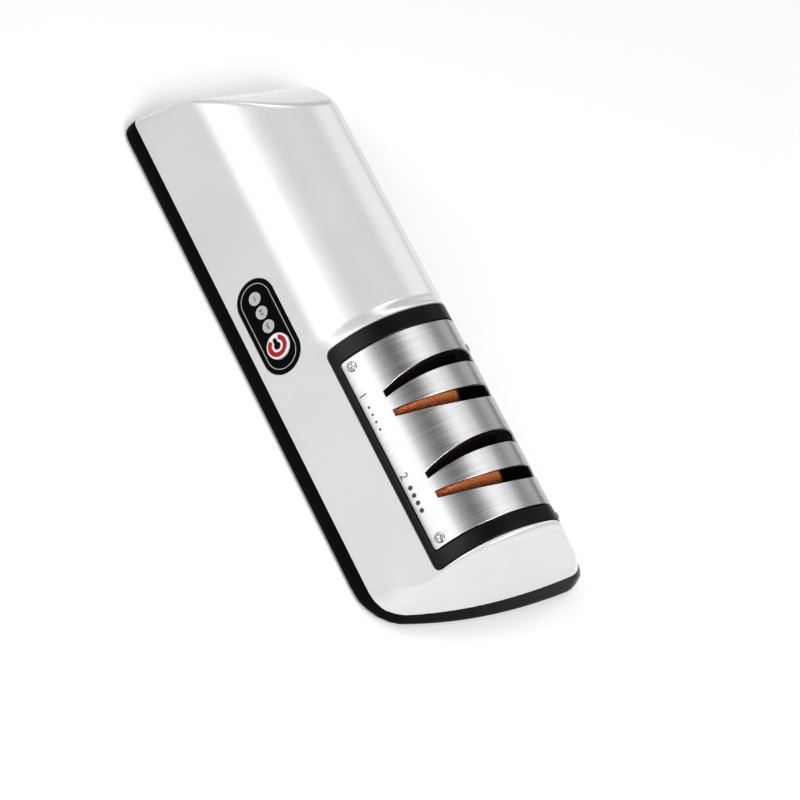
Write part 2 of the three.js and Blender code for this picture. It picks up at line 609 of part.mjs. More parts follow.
const INNER_SCREWS = BRACKETS_X
  .flatMap((x) => SIDES.map((side) => [x + BRACKET_THICKNESS / 2, side * BRACKET_SCREW_Y]));
const MOUNT_PEGS = SIDES.map((side) => [MOUNT_SCREW_X, side * MOUNT_SCREW_Y]);
const BOSSES = [...INNER_SCREWS, ...SIDES.map((side) => [CRADLE_SCREW_X, side * CRADLE_SCREW_Y])];
const PIECE_BOTTOM = BOSS_TOP + FIT;
const FOOT_TOP = PIECE_BOTTOM + BRACKET_FOOT_THICKNESS;

const CASE_SCREWS = [CASE_SCREW_REAR_X, CASE_SCREW_FRONT_X]
  .flatMap((x) => SIDES.map((side) => [x, side * CASE_SCREW_Y]));
const FEET = [FOOT_REAR_X, FOOT_FRONT_X].flatMap((x) => SIDES.map((side) => [x, side * FOOT_Y]));

// Flank axes: X stays, Y runs up the flank, Z points out of it
const PANEL_ORIGIN = new THREE.Vector3(
  PANEL_X, -HALF_WIDTH + PANEL_UP * Math.cos(NEAR_SLOPE), PANEL_UP * Math.sin(NEAR_SLOPE));
const PANEL_MATRIX = new THREE.Matrix4().makeRotationX(NEAR_SLOPE).setPosition(PANEL_ORIGIN);

function stadium(radius, fromDepth, toDepth, matrix) {
  const points = [
    ...arcPoints(PANEL_HALF_STRAIGHT, 0, radius, -Math.PI / 2, Math.PI / 2, SMALL_SIDES / 2),
    ...arcPoints(-PANEL_HALF_STRAIGHT, 0, radius, Math.PI / 2, (3 * Math.PI) / 2, SMALL_SIDES / 2),
  ];
  return sweepZ(points, -toDepth, -fromDepth, matrix);
}

const flankRod = (radius, fromDepth, toDepth, x, matrix) => rodZ(radius, -toDepth, -fromDepth, x, 0,
  SMALL_SIDES, matrix);

const PANEL_BACK = PANEL_THICKNESS - PANEL_PROUD;
const POCKET_DEPTH = PANEL_BACK + FIT;
const BUTTON_FLANGE_BACK = POCKET_DEPTH + BUTTON_FLANGE_THICKNESS;
const SWITCH_TOP = BOARD_DEPTH - SWITCH_HEIGHT;
const PLUNGER_TOP = SWITCH_TOP - SWITCH_PLUNGER_PROUD;
const STEM_END = PLUNGER_TOP - FIT;

const wholeBody = body(0);
const hollow = body(WALL);

function socketPort() {
  const rear = REAR_END;
  return box(rear - CUT, rear + PORT_TRIM, SOCKET_Y - PORT_WIDTH / 2, SOCKET_Y + PORT_WIDTH / 2,
    SOCKET_HEIGHT - PORT_TALL / 2, SOCKET_HEIGHT + PORT_TALL / 2);
}

// Room for the socket behind the wall, cut from the locating lip
function socketPocket() {
  const rear = REAR_END + WALL + FIT;
  const half = PORT_WIDTH / 2;
  return box(rear, rear + SOCKET_DEPTH, SOCKET_Y - half, SOCKET_Y + half, SOCKET_HEIGHT,
    SOCKET_HEIGHT + SOCKET_TALL / 2 + FIT);
}

function topShell() {
  const post = ([x, y]) => rodZ(CASE_POST_RADIUS, CASE_POST_BOTTOM, CASE_POST_TOP, x, y);
  const posts = joined(CASE_SCREWS.map(post));
  const pegEnd = BOARD_DEPTH + BOARD_THICKNESS + FIT;
  const boardPost = (x) => flankRod(BOARD_POST_RADIUS, WALL - FIT, BOARD_DEPTH - FIT, x, PANEL_MATRIX)
    .add(flankRod(BOARD_PEG_RADIUS, WALL, pegEnd, x, PANEL_MATRIX));
  const boardPosts = joined(BOARD_POST_X.map(boardPost));
  const walls = wholeBody.subtract(hollow).intersect(aboveSeam(FIT / 2));
  let shell = walls.add(posts.intersect(wholeBody)).add(boardPosts);
  shell = shell.subtract(skinWedge(FRAME_NEAR_HEIGHT, FRAME_FAR_HEIGHT, FRAME_REAR, FRAME_FRONT, FIT));
  shell = shell.subtract(stadium(PANEL_RADIUS + FIT, -CUT, POCKET_DEPTH, PANEL_MATRIX));
  shell = shell.subtract(flankRod(BUTTON_FLANGE + FIT, 0, WALL + CUT, BUTTON_X, PANEL_MATRIX));
  for (const x of INDICATOR_X) {
    shell = shell.subtract(flankRod(INDICATOR_STEM + FIT, 0, WALL + CUT, x, PANEL_MATRIX));
  }
  for (const [x, y] of CASE_SCREWS) {
    shell = shell.subtract(rodZ(CASE_SCREW_SHANK + FIT, 0, CASE_SCREW_TOP + FIT, x, y));
  }
  return piece('top_shell', shell, WHITE_GLOSS);
}

function baseTray() {
  const low = wholeBody.subtract(aboveSeam(-FIT / 2)).intersect(slab(0, MODULE_HEIGHT));
  let tray = low.subtract(hollow.intersect(slab(FLOOR, MODULE_HEIGHT)));
  const lip = body(WALL + FIT).subtract(body(WALL + FIT + LIP_THICKNESS))
    .subtract(aboveSeam(LIP_RISE)).intersect(aboveSeam(-LIP_RISE)).intersect(slab(FLOOR, MODULE_HEIGHT));
  const ledge = body(WALL / 2).subtract(body(WALL + FIT + LIP_THICKNESS))
    .subtract(aboveSeam(-FIT / 2)).intersect(aboveSeam(-LIP_RISE)).intersect(slab(FLOOR, MODULE_HEIGHT));
  tray = tray.add(lip).add(ledge);
  for (const [x, y] of CASE_SCREWS) {
    tray = tray.subtract(rodZ(CASE_POST_RADIUS + FIT, FLOOR, SEAM_FAR + LIP_RISE + CUT, x, y));
    tray = tray.add(rodZ(CASE_POST_RADIUS, FLOOR / 2, CASE_POST_BOTTOM - FIT, x, y));
  }
  for (const [x, y] of BOSSES) {
    tray = tray.add(rodZ(BOSS_RADIUS, FLOOR / 2, BOSS_TOP, x, y));
    tray = tray.subtract(rodZ(INNER_SCREW_SHANK + FIT, FLOOR, BOSS_TOP + CUT, x, y));
  }
  for (const [x, y] of MOUNT_PEGS) {
    tray = tray.add(rodZ(BOSS_RADIUS, FLOOR / 2, BOSS_TOP, x, y));
    tray = tray.add(rodZ(INNER_SCREW_SHANK, FLOOR, FOOT_TOP, x, y));
  }
  for (const [x, y] of CASE_SCREWS) {
    tray = tray.subtract(rodZ(CASE_SCREW_HEAD + FIT, -CUT, CASE_SCREW_HEAD_HEIGHT + FIT, x, y));
    tray = tray.subtract(rodZ(CASE_SCREW_SHANK + FIT, 0, CASE_POST_BOTTOM, x, y));
  }
  for (const [x, y] of FEET) {
    tray = tray.subtract(rodZ(FOOT_RADIUS + FIT, -CUT, FOOT_RECESS, x, y, ROUND_SIDES));
  }
  tray = tray.subtract(socketPort()).subtract(socketPocket());
  return piece('base_tray', tray, BLACK_GLOSS);
}

function slotFrame() {
  const border = moduleSkin(0, FRAME_THICKNESS)
    .intersect(skinWedge(FRAME_NEAR_HEIGHT, FRAME_FAR_HEIGHT, FRAME_REAR, FRAME_FRONT));
  const recess = moduleSkin(-CUT, PLATE_THICKNESS + FIT)
    .intersect(skinWedge(PLATE_NEAR_HEIGHT, PLATE_FAR_HEIGHT, PLATE_REAR, PLATE_FRONT, FIT));
  const opening = skinWedge(PLATE_NEAR_HEIGHT + LEDGE_SIDE, PLATE_FAR_HEIGHT + LEDGE_SIDE,
    PLATE_REAR + LEDGE_END, PLATE_FRONT - LEDGE_END);
  let frame = border.subtract(recess).subtract(opening);
  for (const matrix of plateScrewPlaces()) {
    frame = frame.subtract(plateScrewHole(-FRAME_THICKNESS - CUT, matrix));
  }
  return piece('slot_frame', frame, BLACK_SATIN);
}

const plateScrewHole = (from, matrix) => (
  rodZ(PLATE_SCREW_SHANK + FIT / 2, from, CUT, 0, 0, SMALL_SIDES, matrix));

// Places of the plate screws: origin on the skin, Z out of it
function plateScrewPlaces() {
  const near = skinFrame(PLATE_NEAR_HEIGHT + PLATE_SCREW_INSET * Math.sin(NEAR_SLOPE));
  const farHeight = PLATE_FAR_HEIGHT + PLATE_SCREW_INSET * Math.sin(FAR_SLOPE);
  const far = { y: farFlankY(farHeight), z: farHeight, outY: Math.sin(FAR_SLOPE), outZ: Math.cos(FAR_SLOPE) };
  const ends = [PLATE_REAR + PLATE_SCREW_INSET, PLATE_FRONT - PLATE_SCREW_INSET];
  return ends.flatMap((x) => [near, far].map((edge) => {
    const out = new THREE.Vector3(0, edge.outY, edge.outZ);
    const turn = new THREE.Quaternion().setFromUnitVectors(new THREE.Vector3(0, 0, 1), out);
    return new THREE.Matrix4().makeRotationFromQuaternion(turn).setPosition(x, edge.y, edge.z);
  }));
}

function slotPlate() {
  let plate = moduleSkin(0, PLATE_THICKNESS)
    .intersect(skinWedge(PLATE_NEAR_HEIGHT, PLATE_FAR_HEIGHT, PLATE_REAR, PLATE_FRONT));
  plate = plate.subtract(eachSlot((x, side) => slotVoid(x, side, SLOT_NEAR, SLOT_FAR)));
  for (const matrix of plateScrewPlaces()) {
    plate = plate.subtract(plateScrewHole(-PLATE_THICKNESS - CUT, matrix));
  }
  return piece('slot_plate', plate, BRUSHED_STEEL);
}

function plateScrews() {
  return plateScrewPlaces().map((matrix, place) => {
    const head = rodZ(PLATE_SCREW_HEAD, FIT / 3, PLATE_SCREW_DOME + FIT / 3, 0, 0, SMALL_SIDES);
    const shank = rodZ(PLATE_SCREW_SHANK, -PLATE_SCREW_LENGTH, PLATE_SCREW_DOME, 0, 0, SMALL_SIDES);
    const screw = piece(`plate_screw_${place + 1}`, head.add(shank), PLAIN_STEEL);
    screw.applyMatrix4(matrix);
    return screw;
  });
}

function bladeGuide() {
  const depth = PLATE_THICKNESS + FIT;
  const block = sweepX(sectionPoints(MODULE_HEIGHT, depth), GUIDE_REAR, GUIDE_FRONT)
    .intersect(box(GUIDE_REAR, GUIDE_FRONT, GUIDE_NEAR, GUIDE_FAR, GUIDE_BOTTOM, MODULE_HEIGHT));
  const chamberHalf = WHEEL_HALF + FIT;
  const guardFace = chamberHalf + GUARD_THICKNESS;
  const rakeY = (z) => GUARD_REFERENCE_Y + (GUARD_REFERENCE_Z - z) * Math.tan(GUARD_RAKE);
  let guide = block;
  for (const wheelX of WHEELS_X) {
    const windowNear = sweepX([
      [SLOT_NEAR, SLOT_FLOOR], [rakeY(SLOT_FLOOR), SLOT_FLOOR],
      [rakeY(MODULE_HEIGHT + CUT), MODULE_HEIGHT + CUT], [SLOT_NEAR, MODULE_HEIGHT + CUT],
    ], wheelX - guardFace - CUT, wheelX + guardFace + CUT);
    const bridgeHalf = (z) => (slotInner(z) + slotOuter(z)) / 2;
    const low = bridgeHalf(SLOT_FLOOR);
    const high = bridgeHalf(MODULE_HEIGHT);
    const bridge = sweepY([
      [wheelX - low, SLOT_FLOOR], [wheelX + low, SLOT_FLOOR],
      [wheelX + high, MODULE_HEIGHT], [wheelX - high, MODULE_HEIGHT],
    ], SLOT_NEAR, SLOT_FAR);
    guide = guide.subtract(bridge.intersect(windowNear));
    const beyondGuard = rakeY(MODULE_HEIGHT + CUT) - CUT;
    for (const side of SIDES) {
      guide = guide.subtract(slotVoid(wheelX, side, SLOT_NEAR, SLOT_FAR + CUT).intersect(windowNear));
      guide = guide.subtract(slotVoid(wheelX, side, beyondGuard, SLOT_FAR + CUT, guardFace));
    }
    guide = guide.subtract(rodX(WHEEL_RADIUS + WHEEL_CLEARANCE, wheelX - chamberHalf, wheelX + chamberHalf));
    guide = guide.subtract(rodX(FLANGE_RADIUS + WHEEL_CLEARANCE, wheelX - HUB_HALF - WHEEL_CLEARANCE,
      wheelX + HUB_HALF + WHEEL_CLEARANCE));
  }
  const tunnel = rodX(SPACER_RADIUS + WHEEL_CLEARANCE, GUIDE_REAR - CUT, GUIDE_FRONT + CUT, SMALL_SIDES);
  guide = guide.subtract(tunnel);
  return piece('blade_guide', guide, BLACK_GUIDE);
}

function wheelSet(label, wheelX) {
  const bore = (from, to) => rodX(SHAFT_RADIUS + FIT / 2, from - CUT, to + CUT, SMALL_SIDES);
  const wheel = rodX(WHEEL_RADIUS, wheelX - WHEEL_HALF, wheelX + WHEEL_HALF)
    .subtract(rodX(WHEEL_BORE, wheelX - WHEEL_HALF - CUT, wheelX + WHEEL_HALF + CUT, SMALL_SIDES));
  const flangeFrom = wheelX + WHEEL_HALF + FIT;
  const hub = rodX(HUB_RADIUS, wheelX - HUB_HALF, wheelX + HUB_HALF, SMALL_SIDES)
    .add(rodX(FLANGE_RADIUS, flangeFrom, flangeFrom + FLANGE_THICKNESS))
    .subtract(bore(wheelX - HUB_HALF, wheelX + HUB_HALF));
  return [
    piece(`${label}_wheel`, wheel, ORANGE_GRIT),
    piece(`${label}_hub`, hub, GREY_PLASTIC),
  ];
}

function spindle() {
  const tube = (radius, from, to) => rodX(radius, from, to, SMALL_SIDES)
    .subtract(rodX(SHAFT_RADIUS + FIT / 2, from - CUT, to + CUT, SMALL_SIDES));
  const rearFrom = bearingFrom(BRACKET_REAR_X) + BEARING_WIDTH + FIT;
  const middleFrom = FINE_X + HUB_HALF + FIT;
  const frontFrom = COARSE_X + HUB_HALF + FIT;
  const nutFrom = bearingFrom(BRACKET_FRONT_X) + BEARING_WIDTH + FIT;
  const nutTo = nutFrom + NUT_THICKNESS;
  return [
    piece('wheel_shaft', rodX(SHAFT_RADIUS, SHAFT_REAR, SHAFT_FRONT, SMALL_SIDES), PLAIN_STEEL),
    piece('rear_spacer', tube(SPACER_RADIUS, rearFrom, FINE_X - HUB_HALF - FIT), GREY_PLASTIC),
    piece('middle_spacer', tube(SPACER_RADIUS, middleFrom, COARSE_X - HUB_HALF - FIT), GREY_PLASTIC),
    piece('front_spacer', tube(SPACER_RADIUS, frontFrom, bearingFrom(BRACKET_FRONT_X) - FIT), GREY_PLASTIC),
    piece('shaft_nut', rodX(NUT_RADIUS, nutFrom, nutTo, NUT_SIDES)
      .subtract(rodX(SHAFT_RADIUS + FIT / 2, nutFrom - CUT, nutTo + CUT, SMALL_SIDES)), BRASS),
  ];
}

function bracket(name, bracketX) {
  const to = bracketX + BRACKET_THICKNESS;
  const waistTop = SPINDLE_HEIGHT;
  const profile = [
    [-BRACKET_FOOT_HALF, PIECE_BOTTOM], [BRACKET_FOOT_HALF, PIECE_BOTTOM], [BRACKET_FOOT_HALF, FOOT_TOP],
    [BRACKET_WAIST_HALF, FOOT_TOP], [BRACKET_WAIST_HALF, waistTop], [-BRACKET_WAIST_HALF, waistTop],
    [-BRACKET_WAIST_HALF, FOOT_TOP], [-BRACKET_FOOT_HALF, FOOT_TOP],
  ];
  let solid = sweepX(profile, bracketX, to).add(rodX(BRACKET_RING, bracketX, to));
  solid = solid.subtract(rodX(BEARING_RADIUS + FIT / 2, bracketX + BRACKET_LIP, to + CUT));
  solid = solid.subtract(rodX(BEARING_RADIUS - BRACKET_LIP, bracketX - CUT, to));
  for (const side of SIDES) {
    solid = solid.subtract(rodZ(INNER_SCREW_SHANK + FIT, PIECE_BOTTOM - CUT, FOOT_TOP + CUT,
      bracketX + BRACKET_THICKNESS / 2, side * BRACKET_SCREW_Y));
  }
  return piece(name, solid, GREY_PLASTIC);
}

function bearing(name, bracketX) {
  const from = bearingFrom(bracketX);
  const to = from + BEARING_WIDTH;
  return piece(name, rodX(BEARING_RADIUS, from, to)
    .subtract(rodX(SHAFT_RADIUS + FIT / 2, from - CUT, to + CUT, SMALL_SIDES)), PLAIN_STEEL);
}

const innerScrew = (name, x, y) => piece(name,
  rodZ(INNER_SCREW_HEAD, FOOT_TOP + FIT / 3, FOOT_TOP + INNER_SCREW_HEAD_HEIGHT, x, y)
    .add(rodZ(INNER_SCREW_SHANK, FLOOR + FIT, FOOT_TOP + INNER_SCREW_HEAD_HEIGHT, x, y)), PLAIN_STEEL);

function motor() {
  const inner = MOTOR_RADIUS - MOTOR_WALL;
  const shaftHole = MOTOR_SHAFT_RADIUS + FIT;
  const can = rodX(MOTOR_RADIUS, MOTOR_REAR, MOTOR_FRONT)
    .add(rodX(MOTOR_BOSS, MOTOR_FRONT - MOTOR_WALL, MOTOR_FRONT + MOTOR_BOSS_LENGTH, SMALL_SIDES))
    .subtract(rodX(inner, MOTOR_REAR - CUT, MOTOR_FRONT - MOTOR_WALL))
    .subtract(rodX(shaftHole, MOTOR_REAR, MOTOR_FRONT + MOTOR_BOSS_LENGTH + CUT, SMALL_SIDES));
  const capFrom = MOTOR_REAR - FIT - MOTOR_CAP_THICKNESS;
  const cap = rodX(MOTOR_RADIUS, capFrom, MOTOR_REAR - FIT)
    .add(rodX(inner - FIT, capFrom, MOTOR_REAR + MOTOR_WALL))
    .subtract(rodX(shaftHole, capFrom + MOTOR_CAP_THICKNESS / 2, MOTOR_REAR + MOTOR_WALL + CUT, SMALL_SIDES));
  const magnetOuter = inner - FIT;
  const arc = (side) => {
    const middle = side > 0 ? 0 : Math.PI;
    const from = middle - MAGNET_HALF_ANGLE;
    const to = middle + MAGNET_HALF_ANGLE;
    const points = [
      ...arcPoints(0, SPINDLE_HEIGHT, magnetOuter, from, to, SMALL_SIDES / 2),
      ...arcPoints(0, SPINDLE_HEIGHT, MAGNET_INNER, to, from, SMALL_SIDES / 2),
    ];
    return sweepX(points, ARMATURE_REAR, ARMATURE_FRONT);
  };
  const armature = rodX(ARMATURE_RADIUS, ARMATURE_REAR, ARMATURE_FRONT)
    .subtract(rodX(shaftHole - FIT / 2, ARMATURE_REAR - CUT, ARMATURE_FRONT + CUT, SMALL_SIDES));
  return [
    piece('motor_can', can, PLAIN_STEEL),
    piece('motor_end_cap', cap, BLACK_SATIN),
    piece('motor_magnet_near', arc(-1), MAGNET_GREY),
    piece('motor_magnet_far', arc(1), MAGNET_GREY),
    piece('motor_armature', armature, COPPER),
    piece('motor_shaft', rodX(MOTOR_SHAFT_RADIUS, capFrom + MOTOR_CAP_THICKNESS / 2 + FIT, MOTOR_SHAFT_FRONT,
      SMALL_SIDES), PLAIN_STEEL),
  ];
}

function coupling() {
  const meet = (MOTOR_SHAFT_FRONT + SHAFT_REAR) / 2;
  const sleeve = rodX(COUPLING_RADIUS, COUPLING_REAR, COUPLING_FRONT, SMALL_SIDES)
    .subtract(rodX(MOTOR_SHAFT_RADIUS + FIT / 2, COUPLING_REAR - CUT, COUPLING_FRONT, SMALL_SIDES))
    .subtract(rodX(SHAFT_RADIUS + FIT / 2, meet, COUPLING_FRONT + CUT, SMALL_SIDES));
  return piece('shaft_coupling', sleeve, BRASS);
}

function motorMount() {
  const to = MOUNT_X + MOUNT_THICKNESS;
  const top = SPINDLE_HEIGHT + MOTOR_RADIUS;
  const upright = sweepX([
    [-MOUNT_HALF, PIECE_BOTTOM], [MOUNT_HALF, PIECE_BOTTOM], [MOUNT_HALF, SPINDLE_HEIGHT],
    [MOUNT_HALF / 2, top - CUT], [-MOUNT_HALF / 2, top - CUT], [-MOUNT_HALF, SPINDLE_HEIGHT],
  ], MOUNT_X, to);
  const footTo = MOUNT_X + MOUNT_FOOT_DEPTH;
  let mount = upright.add(box(MOUNT_X, footTo, -MOUNT_HALF, MOUNT_HALF, PIECE_BOTTOM, FOOT_TOP));
  mount = mount.subtract(rodX(MOTOR_BOSS + FIT, MOUNT_X - CUT, to + CUT, SMALL_SIDES));
  for (const side of SIDES) {
    mount = mount.subtract(rodX(INNER_SCREW_SHANK / 2 + FIT, MOUNT_X - CUT, to + CUT, SMALL_SIDES,
      side * MOTOR_SCREW_SPACING));
    mount = mount.subtract(rodZ(INNER_SCREW_SHANK + FIT, PIECE_BOTTOM - CUT, FOOT_TOP + CUT,
      MOUNT_SCREW_X, side * MOUNT_SCREW_Y));
  }
  const screws = SIDES.map((side, place) => {
    const y = side * MOTOR_SCREW_SPACING;
    const headTo = to + INNER_SCREW_HEAD_HEIGHT;
    const head = rodX(MOTOR_SCREW_HEAD, to + FIT / 3, headTo, SMALL_SIDES, y);
    const shank = rodX(INNER_SCREW_SHANK / 2, MOUNT_X - FIT / 3, headTo, SMALL_SIDES, y);
    return piece(`motor_screw_${place + 1}`, head.add(shank), PLAIN_STEEL);
  });
  return [piece('motor_mount', mount, PLAIN_STEEL), ...screws];
}

function cradle() {
  const saddle = sweepX([
    [-CRADLE_HALF, PIECE_BOTTOM], [CRADLE_HALF, PIECE_BOTTOM],
    [CRADLE_HALF, CRADLE_TOP], [-CRADLE_HALF, CRADLE_TOP],
  ], CRADLE_REAR, CRADLE_FRONT);
  const seat = rodX(MOTOR_RADIUS + FIT, CRADLE_REAR - CUT, CRADLE_FRONT + CUT);
  const strapOuter = MOTOR_RADIUS + FIT + STRAP_THICKNESS;
  const earTop = CRADLE_TOP + FIT + STRAP_EAR;
  const strap = rodX(strapOuter, CRADLE_REAR, CRADLE_FRONT)
    .add(box(CRADLE_REAR, CRADLE_FRONT, -CRADLE_HALF, CRADLE_HALF, CRADLE_TOP + FIT, earTop))
    .subtract(seat)
    .intersect(slab(CRADLE_TOP + FIT, MODULE_HEIGHT));
  const hole = (y) => rodZ(INNER_SCREW_SHANK + FIT, BOSS_TOP - CUT, earTop + CUT, CRADLE_SCREW_X, y);
  const holes = joined(SIDES.map((side) => hole(side * CRADLE_SCREW_Y)));
  const wells = joined(SIDES.map((side) => rodZ(INNER_SCREW_HEAD + FIT, earTop, MODULE_HEIGHT, CRADLE_SCREW_X,
    side * CRADLE_SCREW_Y)));
  const screws = SIDES.map((side, place) => {
    const y = side * CRADLE_SCREW_Y;
    const headTop = earTop + INNER_SCREW_HEAD_HEIGHT;
    const head = rodZ(INNER_SCREW_HEAD, earTop + FIT / 3, headTop, CRADLE_SCREW_X, y);
    const shank = rodZ(INNER_SCREW_SHANK, FLOOR + FIT, headTop, CRADLE_SCREW_X, y);
    return piece(`cradle_screw_${place + 1}`, head.add(shank), PLAIN_STEEL);
  });
  return [
    piece('motor_cradle', saddle.subtract(seat).subtract(holes), GREY_PLASTIC),
    piece('motor_strap', strap.subtract(holes).subtract(wells), PLAIN_STEEL),
    ...screws,
  ];
}

function caseScrews() {
  return CASE_SCREWS.map(([x, y], place) => piece(`case_screw_${place + 1}`,
    rodZ(CASE_SCREW_HEAD, FIT / 3, CASE_SCREW_HEAD_HEIGHT, x, y)
      .add(rodZ(CASE_SCREW_SHANK, FIT / 3, CASE_SCREW_TOP, x, y)), PLAIN_STEEL));
}

const feet = () => FEET.map(([x, y], place) => piece(`foot_${place + 1}`,
  rodZ(FOOT_RADIUS, -FOOT_PROUD, FOOT_RECESS - FIT / 3, x, y, ROUND_SIDES), RUBBER));

// Pieces on the near flank, in the flank's axes
function controls() {
  let panel = stadium(PANEL_RADIUS, -PANEL_PROUD, PANEL_BACK);
  panel = panel.subtract(flankRod(BUTTON_RADIUS + FIT, -CUT, CUT, BUTTON_X));
  for (const x of INDICATOR_X) panel = panel.subtract(flankRod(INDICATOR_RADIUS + FIT / 2, -CUT, CUT, x));
  const button = flankRod(BUTTON_RADIUS, -PANEL_PROUD - BUTTON_PROUD, POCKET_DEPTH + FIT, BUTTON_X)
    .add(flankRod(BUTTON_FLANGE, POCKET_DEPTH, BUTTON_FLANGE_BACK, BUTTON_X))
    .add(flankRod(BUTTON_STEM, POCKET_DEPTH, STEM_END, BUTTON_X));
  const lenses = INDICATOR_X.map((x, place) => piece(`indicator_${place + 1}`,
    flankRod(INDICATOR_RADIUS, -PANEL_PROUD, PANEL_BACK, x)
      .add(flankRod(INDICATOR_STEM, 0, BOARD_DEPTH - LED_HEIGHT - FIT, x)), GREY_LENS));
  let board = box(BOARD_REAR, BOARD_FRONT, -BOARD_HALF_HEIGHT, BOARD_HALF_HEIGHT,
    -BOARD_DEPTH - BOARD_THICKNESS, -BOARD_DEPTH);
  for (const x of INDICATOR_X) {
    board = board.add(box(x - LED_SIZE / 2, x + LED_SIZE / 2, -LED_SIZE / 2, LED_SIZE / 2,
      -BOARD_DEPTH - FIT, -BOARD_DEPTH + LED_HEIGHT));
  }
  const behindBoard = BOARD_DEPTH + BOARD_THICKNESS + CUT;
  for (const x of BOARD_POST_X) board = board.subtract(flankRod(BOARD_PEG_RADIUS + FIT, 0, behindBoard, x));
  const half = SWITCH_SIZE / 2;
  const sunk = SWITCH_TOP + SWITCH_PLUNGER_SUNK;
  const housing = box(BUTTON_X - half, BUTTON_X + half, -half, half, -BOARD_DEPTH + FIT / 10, -SWITCH_TOP)
    .subtract(flankRod(SWITCH_PLUNGER + FIT, SWITCH_TOP - CUT, sunk + BUTTON_TRAVEL + FIT, BUTTON_X));
  const plunger = flankRod(SWITCH_PLUNGER, PLUNGER_TOP, sunk, BUTTON_X);
  const group = new THREE.Group();
  group.rotation.x = NEAR_SLOPE;
  group.position.copy(PANEL_ORIGIN);
  group.add(
    piece('control_panel', panel, BLACK_GLOSS),
    piece('power_button', button, WHITE_BUTTON),
    piece('control_board', board, BOARD_GREEN),
    piece('switch_housing', housing, BLACK_SATIN),
    piece('switch_plunger', plunger, GREY_PLASTIC),
    ...lenses,
  );
  return group;
}

function power() {
  const trayHalf = CELL_Y + CELL_RADIUS + FIT + TRAY_WALL;
  const cell = (side) => (
    rodX(CELL_RADIUS, CELL_REAR, CELL_FRONT, ROUND_SIDES, side * CELL_Y, CELL_HEIGHT));
  const cells = joined(SIDES.map(cell));
  const wrapHalf = CELL_RADIUS / 2;
  const wrap = box(CELL_REAR, CELL_FRONT, -CELL_Y, CELL_Y, CELL_HEIGHT - wrapHalf, CELL_HEIGHT + wrapHalf);
  const margin = FIT + TRAY_WALL;
  const outer = box(CELL_REAR - margin, CELL_FRONT + margin, -trayHalf, trayHalf, TRAY_BOTTOM,
    TRAY_BOTTOM + TRAY_HEIGHT);
  const inner = box(CELL_REAR - FIT, CELL_FRONT + FIT, -trayHalf + TRAY_WALL, trayHalf - TRAY_WALL,
    TRAY_BOTTOM + TRAY_WALL, TRAY_BOTTOM + TRAY_HEIGHT + CUT);
  const board = box(MAIN_BOARD_REAR, MAIN_BOARD_FRONT, MAIN_BOARD_NEAR, MAIN_BOARD_FAR, TRAY_BOTTOM,
    TRAY_BOTTOM + MAIN_BOARD_THICKNESS);
  const chipX = (MAIN_BOARD_REAR + MAIN_BOARD_FRONT) / 2;
  const chipY = (MAIN_BOARD_NEAR + MAIN_BOARD_FAR) / 2;
  const chip = box(chipX - CHIP_SIZE / 2, chipX + CHIP_SIZE / 2, chipY - CHIP_SIZE / 2, chipY + CHIP_SIZE / 2,
    TRAY_BOTTOM, TRAY_BOTTOM + MAIN_BOARD_THICKNESS + CHIP_HEIGHT);
  const mouth = REAR_END + PORT_TRIM + FIT;
  const socketBox = (grow) => [SOCKET_Y - SOCKET_WIDTH / 2 - grow, SOCKET_Y + SOCKET_WIDTH / 2 + grow,
    SOCKET_HEIGHT - SOCKET_TALL / 2 - grow, SOCKET_HEIGHT + SOCKET_TALL / 2 + grow];
  const tongue = box(mouth + SOCKET_WALL, mouth + SOCKET_DEPTH, SOCKET_Y - SOCKET_WIDTH / 3,
    SOCKET_Y + SOCKET_WIDTH / 3, SOCKET_HEIGHT - SOCKET_TONGUE / 2, SOCKET_HEIGHT + SOCKET_TONGUE / 2);
  const socket = box(mouth, mouth + SOCKET_DEPTH, ...socketBox(0))
    .subtract(box(mouth - CUT, mouth + SOCKET_DEPTH - 2 * SOCKET_WALL, ...socketBox(-SOCKET_WALL)))
    .add(tongue);
  const chargeTop = SOCKET_HEIGHT - SOCKET_TALL / 2 + SOCKET_WALL / 2;
  const chargeBoard = box(mouth + SOCKET_WALL, mouth + CHARGE_BOARD_DEPTH, SOCKET_Y - CHARGE_BOARD_HALF,
    SOCKET_Y + CHARGE_BOARD_HALF, chargeTop - CHARGE_BOARD_THICKNESS, chargeTop);
  return [
    piece('battery_pack', cells.add(wrap), CELL_BLUE),
    piece('battery_tray', outer.subtract(inner), BLACK_SATIN),
    piece('main_board', board.add(chip), BOARD_GREEN),
    piece('charging_socket', socket.add(chargeBoard), PLAIN_STEEL),
  ];
}

const sharpener = new THREE.Group();
sharpener.position.z = FOOT_PROUD;
sharpener.add(
  topShell(),
  baseTray(),
  slotFrame(),
  slotPlate(),
  ...plateScrews(),
  bladeGuide(),
  ...wheelSet('fine', FINE_X),
  ...wheelSet('coarse', COARSE_X),
  ...spindle(),
  bracket('rear_bracket', BRACKET_REAR_X),
  bracket('front_bracket', BRACKET_FRONT_X),
  bearing('rear_bearing', BRACKET_REAR_X),
  bearing('front_bearing', BRACKET_FRONT_X),
  ...INNER_SCREWS.map(([x, y], place) => innerScrew(`bracket_screw_${place + 1}`, x, y)),
  ...motor(),
  coupling(),
  ...motorMount(),
  ...cradle(),
  ...caseScrews(),
  ...feet(),
  controls(),
  ...power(),
);

export default sharpener;
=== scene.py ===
import json
import math

import bpy
import numpy as np
from mathutils import Matrix, Vector


